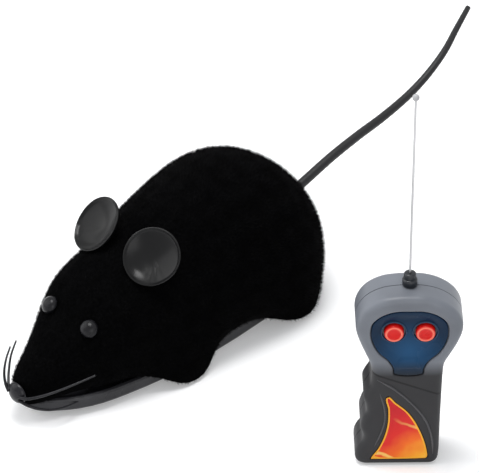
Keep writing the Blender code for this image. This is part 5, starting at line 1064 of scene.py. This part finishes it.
def two_maps(edges, holes, depth_at, spacing, behind, back, seam=()):
    """A height map, a flat one behind it, and walls between them at the edge and the holes."""
    front, faces, rings = cover(edges, holes, depth_at, spacing)
    back_holes = [(hole, back) for hole, _ in holes]
    flat, flat_faces, flat_rings = cover([(behind, back)], back_holes, flat_at(back), COARSE)
    flat_rings = [ring + len(front) for ring in flat_rings]
    points = np.concatenate([front, flat, *seam])
    starts = range(len(front) + len(flat), len(points), len(behind))
    wall = [rings[0], *(start + np.arange(len(behind)) for start in starts), flat_rings[0]]
    faces = [*faces, *(flat_faces + len(front))]
    for near, far in [*zip(wall, wall[1:]), *zip(rings[len(edges) :], flat_rings[1:])]:
        faces += list(strip(near, far))
    return points, faces


def rim_rings(face, sign):
    """Loops from the side wall up the round edge onto the face."""
    rings = []
    for turn in np.radians(ROUND_STEPS):
        loop = moved_in(outline, EDGE_ROUND * (1 - math.cos(turn)))
        up = loop[:, 1]
        loop[:, 1] = up - 0.65 * (up / EDGE_ROUND) * np.clip((5.0 - up) / 2.4, 0, 1)
        rings.append((loop, face + sign * EDGE_ROUND * (1 - math.sin(turn))))
    return rings


def shell(face, inside_face, sign, edges=(), holes=(), depth_at=None):
    """One half of the housing, with its round edge, up to the seam."""
    edges = rim_rings(face, sign) + list(edges)
    inside = moved_in(outline, WALL)
    seam = [at_depth(loop, -sign * SEAM) for loop in (outline, inside)]
    return two_maps(edges, list(holes), depth_at or flat_at(face), 0.8, inside, inside_face, seam)


print("rings in the round of the rim:", len(rim_rings(0.0, 1)))

# %% Front shell with its recesses
FACE = -DEEP / 2
BORE = 3.5
PANEL_FLOOR = FACE + 1.5
WINDOW_FLOOR = FACE + 0.7


def softened(loop, floor, radius):
    """Loops over the rounded lip of a recess and down its wall to the floor."""
    rings = []
    for turn in np.radians((0, 30, 60, 90)):
        lip = moved_in(loop, -radius * (1 - math.sin(turn)))
        rings.append((lip, FACE + radius * (1 - math.cos(turn))))
    return rings + [(moved_in(loop, 0.04), floor)]


def front_depth(spots):
    depth = np.full(len(spots), FACE)
    depth[within(panel_edge, spots)] = PANEL_FLOOR
    depth[within(window_edge, spots)] = WINDOW_FLOOR
    return depth


recesses = softened(panel_edge, PANEL_FLOOR, 0.55) + softened(window_edge, WINDOW_FLOOR, 0.35)
bores = [(circle(across, BUTTON_UP, BORE), PANEL_FLOOR) for _, across in BUTTON_SPOTS]
front = shell(FACE, FACE + FRONT_WALL, 1, recesses, bores, front_depth)
print("front shell points:", len(front[0]), "faces:", len(front[1]))

# %% Work on the shells
BLOCK_FACES = ((0, 1, 3, 2), (4, 6, 7, 5), (0, 4, 5, 1), (2, 3, 7, 6), (0, 2, 6, 4), (1, 5, 7, 3))


def block(low, high):
    sides = tuple(zip(low, high))
    return [(x, y, z) for x in sides[0] for y in sides[1] for z in sides[2]], BLOCK_FACES


def peg(radius, across, up, near, far, steps=48):
    """A round bar that runs from front to back."""
    ring = circle(across, up, radius, steps)
    first = np.arange(steps)
    faces = [first, first + steps, *strip(first, first + steps)]
    return np.concatenate([at_depth(ring, near), at_depth(ring, far)]), faces


def worked(shape, *changes):
    """A solid after a row of Booleans: UNION adds a shape and DIFFERENCE takes it away."""
    base = put("base", solid(shape))
    for operation, tool_shape in changes:
        tool = put("tool", solid(tool_shape))
        change = base.modifiers.new("change", "BOOLEAN")
        change.operation, change.solver, change.object = operation, "EXACT", tool
        bpy.context.view_layer.update()
        result = base.evaluated_get(bpy.context.evaluated_depsgraph_get())
        mesh = bpy.data.meshes.new_from_object(result)
        base.modifiers.clear()
        base.data = mesh
        bpy.data.objects.remove(tool)
    bpy.data.objects.remove(base)
    return mesh


def on_transmitter(name, shape, finish, replaced=()):
    """A piece that is written in the transmitter's frame and rides on it."""
    return piece(name, shape, transmitter, "transmitter", finish, replaced)


print("faces of a peg:", len(peg(1.0, 0, 0, 0, 1.0)[1]))

# %% Bosses, screw holes and the cell's bay
BACK = DEEP / 2
SCREWS = ((-13.195, 56.19), (8.2, 19.72))
BOSS = 2.7
THREAD = 1.4
SCREW_HEAD = 2.5
SPACER = 1.6
SPACER_SPOTS = ((-5.495, 65.1), (5.495, 65.1))


def pegs(operation, radius, near, far, spots=SCREWS):
    return [(operation, peg(radius, x, z, near, far)) for x, z in spots]


neck_hole = ("DIFFERENCE", turned([(0.0, 67.9), (1.8, 67.9), (1.8, 75.5), (0.0, 75.5)], 48))
work = [*pegs("UNION", BOSS, -6.5, -0.3), *pegs("DIFFERENCE", THREAD, -5.4, 3.0), neck_hole]
on_transmitter("front_shell", worked(front, *work), charcoal, ["remote_front_shell"])

work = pegs("UNION", BOSS, 0.3, 7.7) + pegs("UNION", SPACER, 1.7, 7.7, SPACER_SPOTS)
work += [
    ("UNION", block((-8.2, -5.5, 2.1), (5.2, 7.7, 38.8))),
    ("DIFFERENCE", block((-6.9, -4.2, 3.4), (3.9, 11.5, 37.5))),
    ("DIFFERENCE", block((-8.1, 6.8, 2.2), (5.1, 11.5, 38.7))),
]
for spot in SCREWS:
    work += pegs("DIFFERENCE", SCREW_HEAD, 4.0, 11.5, [spot])
    work += pegs("DIFFERENCE", THREAD, -3.0, 4.2, [spot])
rear = worked(shell(BACK, BACK - WALL, -1), *work, neck_hole)
on_transmitter("rear_shell", rear, charcoal, ["remote_rear_shell"])

# %% [markdown]
# ## Label
# The label is a thin film in the window of the grip. It is cut a hair smaller than the window
# and carries a narrow orange border, which is a second finish on the faces near its edge.

# %% Printed film in the window
LABEL_FRONT = FACE + 0.15
LABEL_BACK = FACE + 0.40
FILM_GAP = 0.30
BORDER = 0.55


def trimmed_in(loop, distance):
    """The loop moved in, without the points that fold over at a tight corner."""
    moved = moved_in(loop, distance)
    return moved[distance_to(loop, moved) > 0.97 * distance]


film_edge = trimmed_in(window_edge, FILM_GAP)
border_edge = trimmed_in(window_edge, FILM_GAP + BORDER)
film_loops = [(film_edge, LABEL_FRONT), (border_edge, LABEL_FRONT)]
film = two_maps(film_loops, [], flat_at(LABEL_FRONT), 1.5, film_edge, LABEL_BACK)
middles = np.array([np.mean([film[0][corner] for corner in face], 0) for face in film[1]])
in_print = within(border_edge, middles[:, ::2])
sticker = on_transmitter("grip_film", film, label, ["grip_label"])
sticker.data.materials.append(label_border.material)
sticker.data.polygons.foreach_set("material_index", [0 if inner else 1 for inner in in_print])
print("border faces:", int((~in_print).sum()))

# %% [markdown]
# ## Thumb panel
# The blue panel is a shallow dish, so that a thumb slides to the buttons. It has a thin lip, a
# raised ring round each button and a low tongue at its foot, where the sprue was. It is a height
# map again: the dish grows with the distance from the panel's own edge.

# %% Thumb panel
PANEL_BACK = FACE + 1.2
LIP_FRONT = FACE + 0.30
LIP_WIDTH = 0.72
DISH = 0.62
DISH_SLOPE = 3.4
TONGUE_RISE = 0.28
TONGUE = (
    (-0.054, 0.59), (-0.056, 0.612), (-0.046, 0.64), (-0.02, 0.647), (0.02, 0.647),
    (0.046, 0.64), (0.056, 0.612), (0.054, 0.59), (0.03, 0.583), (-0.03, 0.583),
)
PANEL_LIP = ((0.30, 0.40), (0.36, 0.16), (0.48, 0.04), (0.58, 0.0), (LIP_WIDTH, 0.01))
BUTTON_RING = ((4.0, 0.22), (4.12, 0.12), (4.32, 0.12), (4.46, 0.24))
PANEL_BORE = 3.9
RING_FOOT = 4.62


def dish_depth(spots):
    share = np.clip((distance_to(panel_edge, spots) - LIP_WIDTH) / DISH_SLOPE, 0.0, 1.0)
    return LIP_FRONT + 0.01 + DISH * share * share * (3 - 2 * share)


def panel_depth(spots):
    depth = dish_depth(spots)
    return np.where(within(tongue, spots), depth - TONGUE_RISE, depth)


tongue = loop_through(TONGUE, 4)
tongue_top = moved_in(tongue, 0.4)
panel_loops = [(moved_in(panel_edge, inset), LIP_FRONT + drop) for inset, drop in PANEL_LIP]
panel_loops += [(tongue, dish_depth(tongue)), (tongue_top, dish_depth(tongue_top) - TONGUE_RISE)]
panel_holes = []
for _, across in BUTTON_SPOTS:
    panel_holes.append((circle(across, BUTTON_UP, PANEL_BORE), LIP_FRONT + 0.5))
    for radius, drop in BUTTON_RING:
        panel_loops.append((circle(across, BUTTON_UP, radius), LIP_FRONT + drop))
    foot = circle(across, BUTTON_UP, RING_FOOT)
    panel_loops.append((foot, dish_depth(foot)))
panel = two_maps(panel_loops, panel_holes, panel_depth, 0.6, panel_loops[0][0], PANEL_BACK)
on_transmitter("thumb_panel", panel, panel_blue, ["face_panel"])

# %% [markdown]
# ## Transmitter details
# The grip has a raised swoosh that frames the label and a second ridge along the finger side.
# They are long low strands, half sunk in the face. Near the edge the face rounds away, so the
# strand's depth follows the same quarter circle.

# %% Ridges on the grip
EDGE_STARTS = 9.0
RIDGE_SINK = 0.12
SWOOSH = ((-10.6, 38.0), (-5.0, 34.2), (1.0, 28.1), (6.2, 20.5), (8.6, 12.8), (9.4, 5.0))
FINGER_RIDGE = ((-9.6, 32.0), (-8.1, 26.5), (-7.6, 21.0), (-8.6, 15.5), (-11.0, 8.4))


def on_face(x, z):
    past = max(x - EDGE_STARTS, 0.0)
    drop = EDGE_ROUND - math.sqrt(EDGE_ROUND**2 - past**2)
    return Vector((x, FACE + drop + RIDGE_SINK, z))


def ridge(name, route, width):
    line = [on_face(spot.x, spot.z) for spot in smooth_line([(x, 0, z) for x, z in route], 12)]
    ends = len(line) - 1
    radii = [width * min(1.0, 0.25 + 6.0 * min(k, ends - k) / ends) for k in range(ends + 1)]
    on_transmitter(name, swept(line, radii, 16, 0.62, (0, 1, 0)), ridge_grey)


ridge("grip_swoosh", SWOOSH, 0.62)
ridge("finger_ridge", FINGER_RIDGE, 0.50)

# %% [markdown]
# The buttons are red caps, each with a shallow dish inside a raised lip, so that a thumb
# finds them. They run down through the face to a flange and a post, as the CAD parts do.

# %% Buttons
BUTTON_TOP = 9.35
BUTTON_LIP = (
    (0.0, -0.6), (1.2, -0.55), (1.9, -0.4), (2.25, -0.16), (2.45, -0.04),
    (2.65, 0.0), (2.9, -0.07), (3.12, -0.25), (3.3, -0.55),
)
BUTTON_FOOT = ((3.3, 5.4), (4.2, 5.4), (4.2, 4.5), (1.2, 4.5), (1.2, 4.2), (0.0, 4.2))

profile = [*((radius, BUTTON_TOP + drop) for radius, drop in BUTTON_LIP), *BUTTON_FOOT]
for name, across in BUTTON_SPOTS:
    spot = transmitter @ Matrix.Translation((across, 0, BUTTON_UP)) @ FORWARD
    body, replaced = name + "_key", ["button_" + name]
    cap = turned(profile, 64)
    piece("thumb_button_" + name, cap, spot, body, button_red, replaced)

# %% [markdown]
# ## Aerial
# The collar is a two-step turned bush and the tip a round bead, both pushed on by hand. They
# are turned again here with more steps, and a small radius on every edge that a hand meets.

# %% Collar and tip
COLLAR = (
    (0.0, 74.76), (0.46, 74.76), (0.46, 77.55), (0.62, 77.7), (1.7, 77.7), (1.95, 77.55),
    (2.07, 77.3), (2.1, 77.0), (2.1, 75.5), (2.3, 75.4), (2.5, 75.25), (2.6, 74.95),
    (2.6, 73.1), (2.5, 72.85), (2.3, 72.8), (1.5, 72.8), (1.5, 70.6), (2.4, 70.6),
    (2.4, 69.6), (0.0, 69.6),
)
WIRE_HOLE = 0.46

low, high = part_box("antenna_tip")
tip_up = (low.z + high.z) / 2 / MM
tip_radius = (high.z - low.z) / 2 / MM
ball = [(0.0, tip_up + tip_radius)]
for turn in np.radians(range(12, 169, 12)):
    ball.append((tip_radius * math.sin(turn), tip_up + tip_radius * math.cos(turn)))
ball += [(WIRE_HOLE, tip_up - tip_radius * 0.94), (WIRE_HOLE, tip_up + 0.06), (0.0, tip_up + 0.06)]
on_transmitter("aerial_collar", turned(COLLAR, 56), collar_black, ["antenna_collar"])
on_transmitter("aerial_tip", turned(ball, 48), tip_grey, ["antenna_tip"])
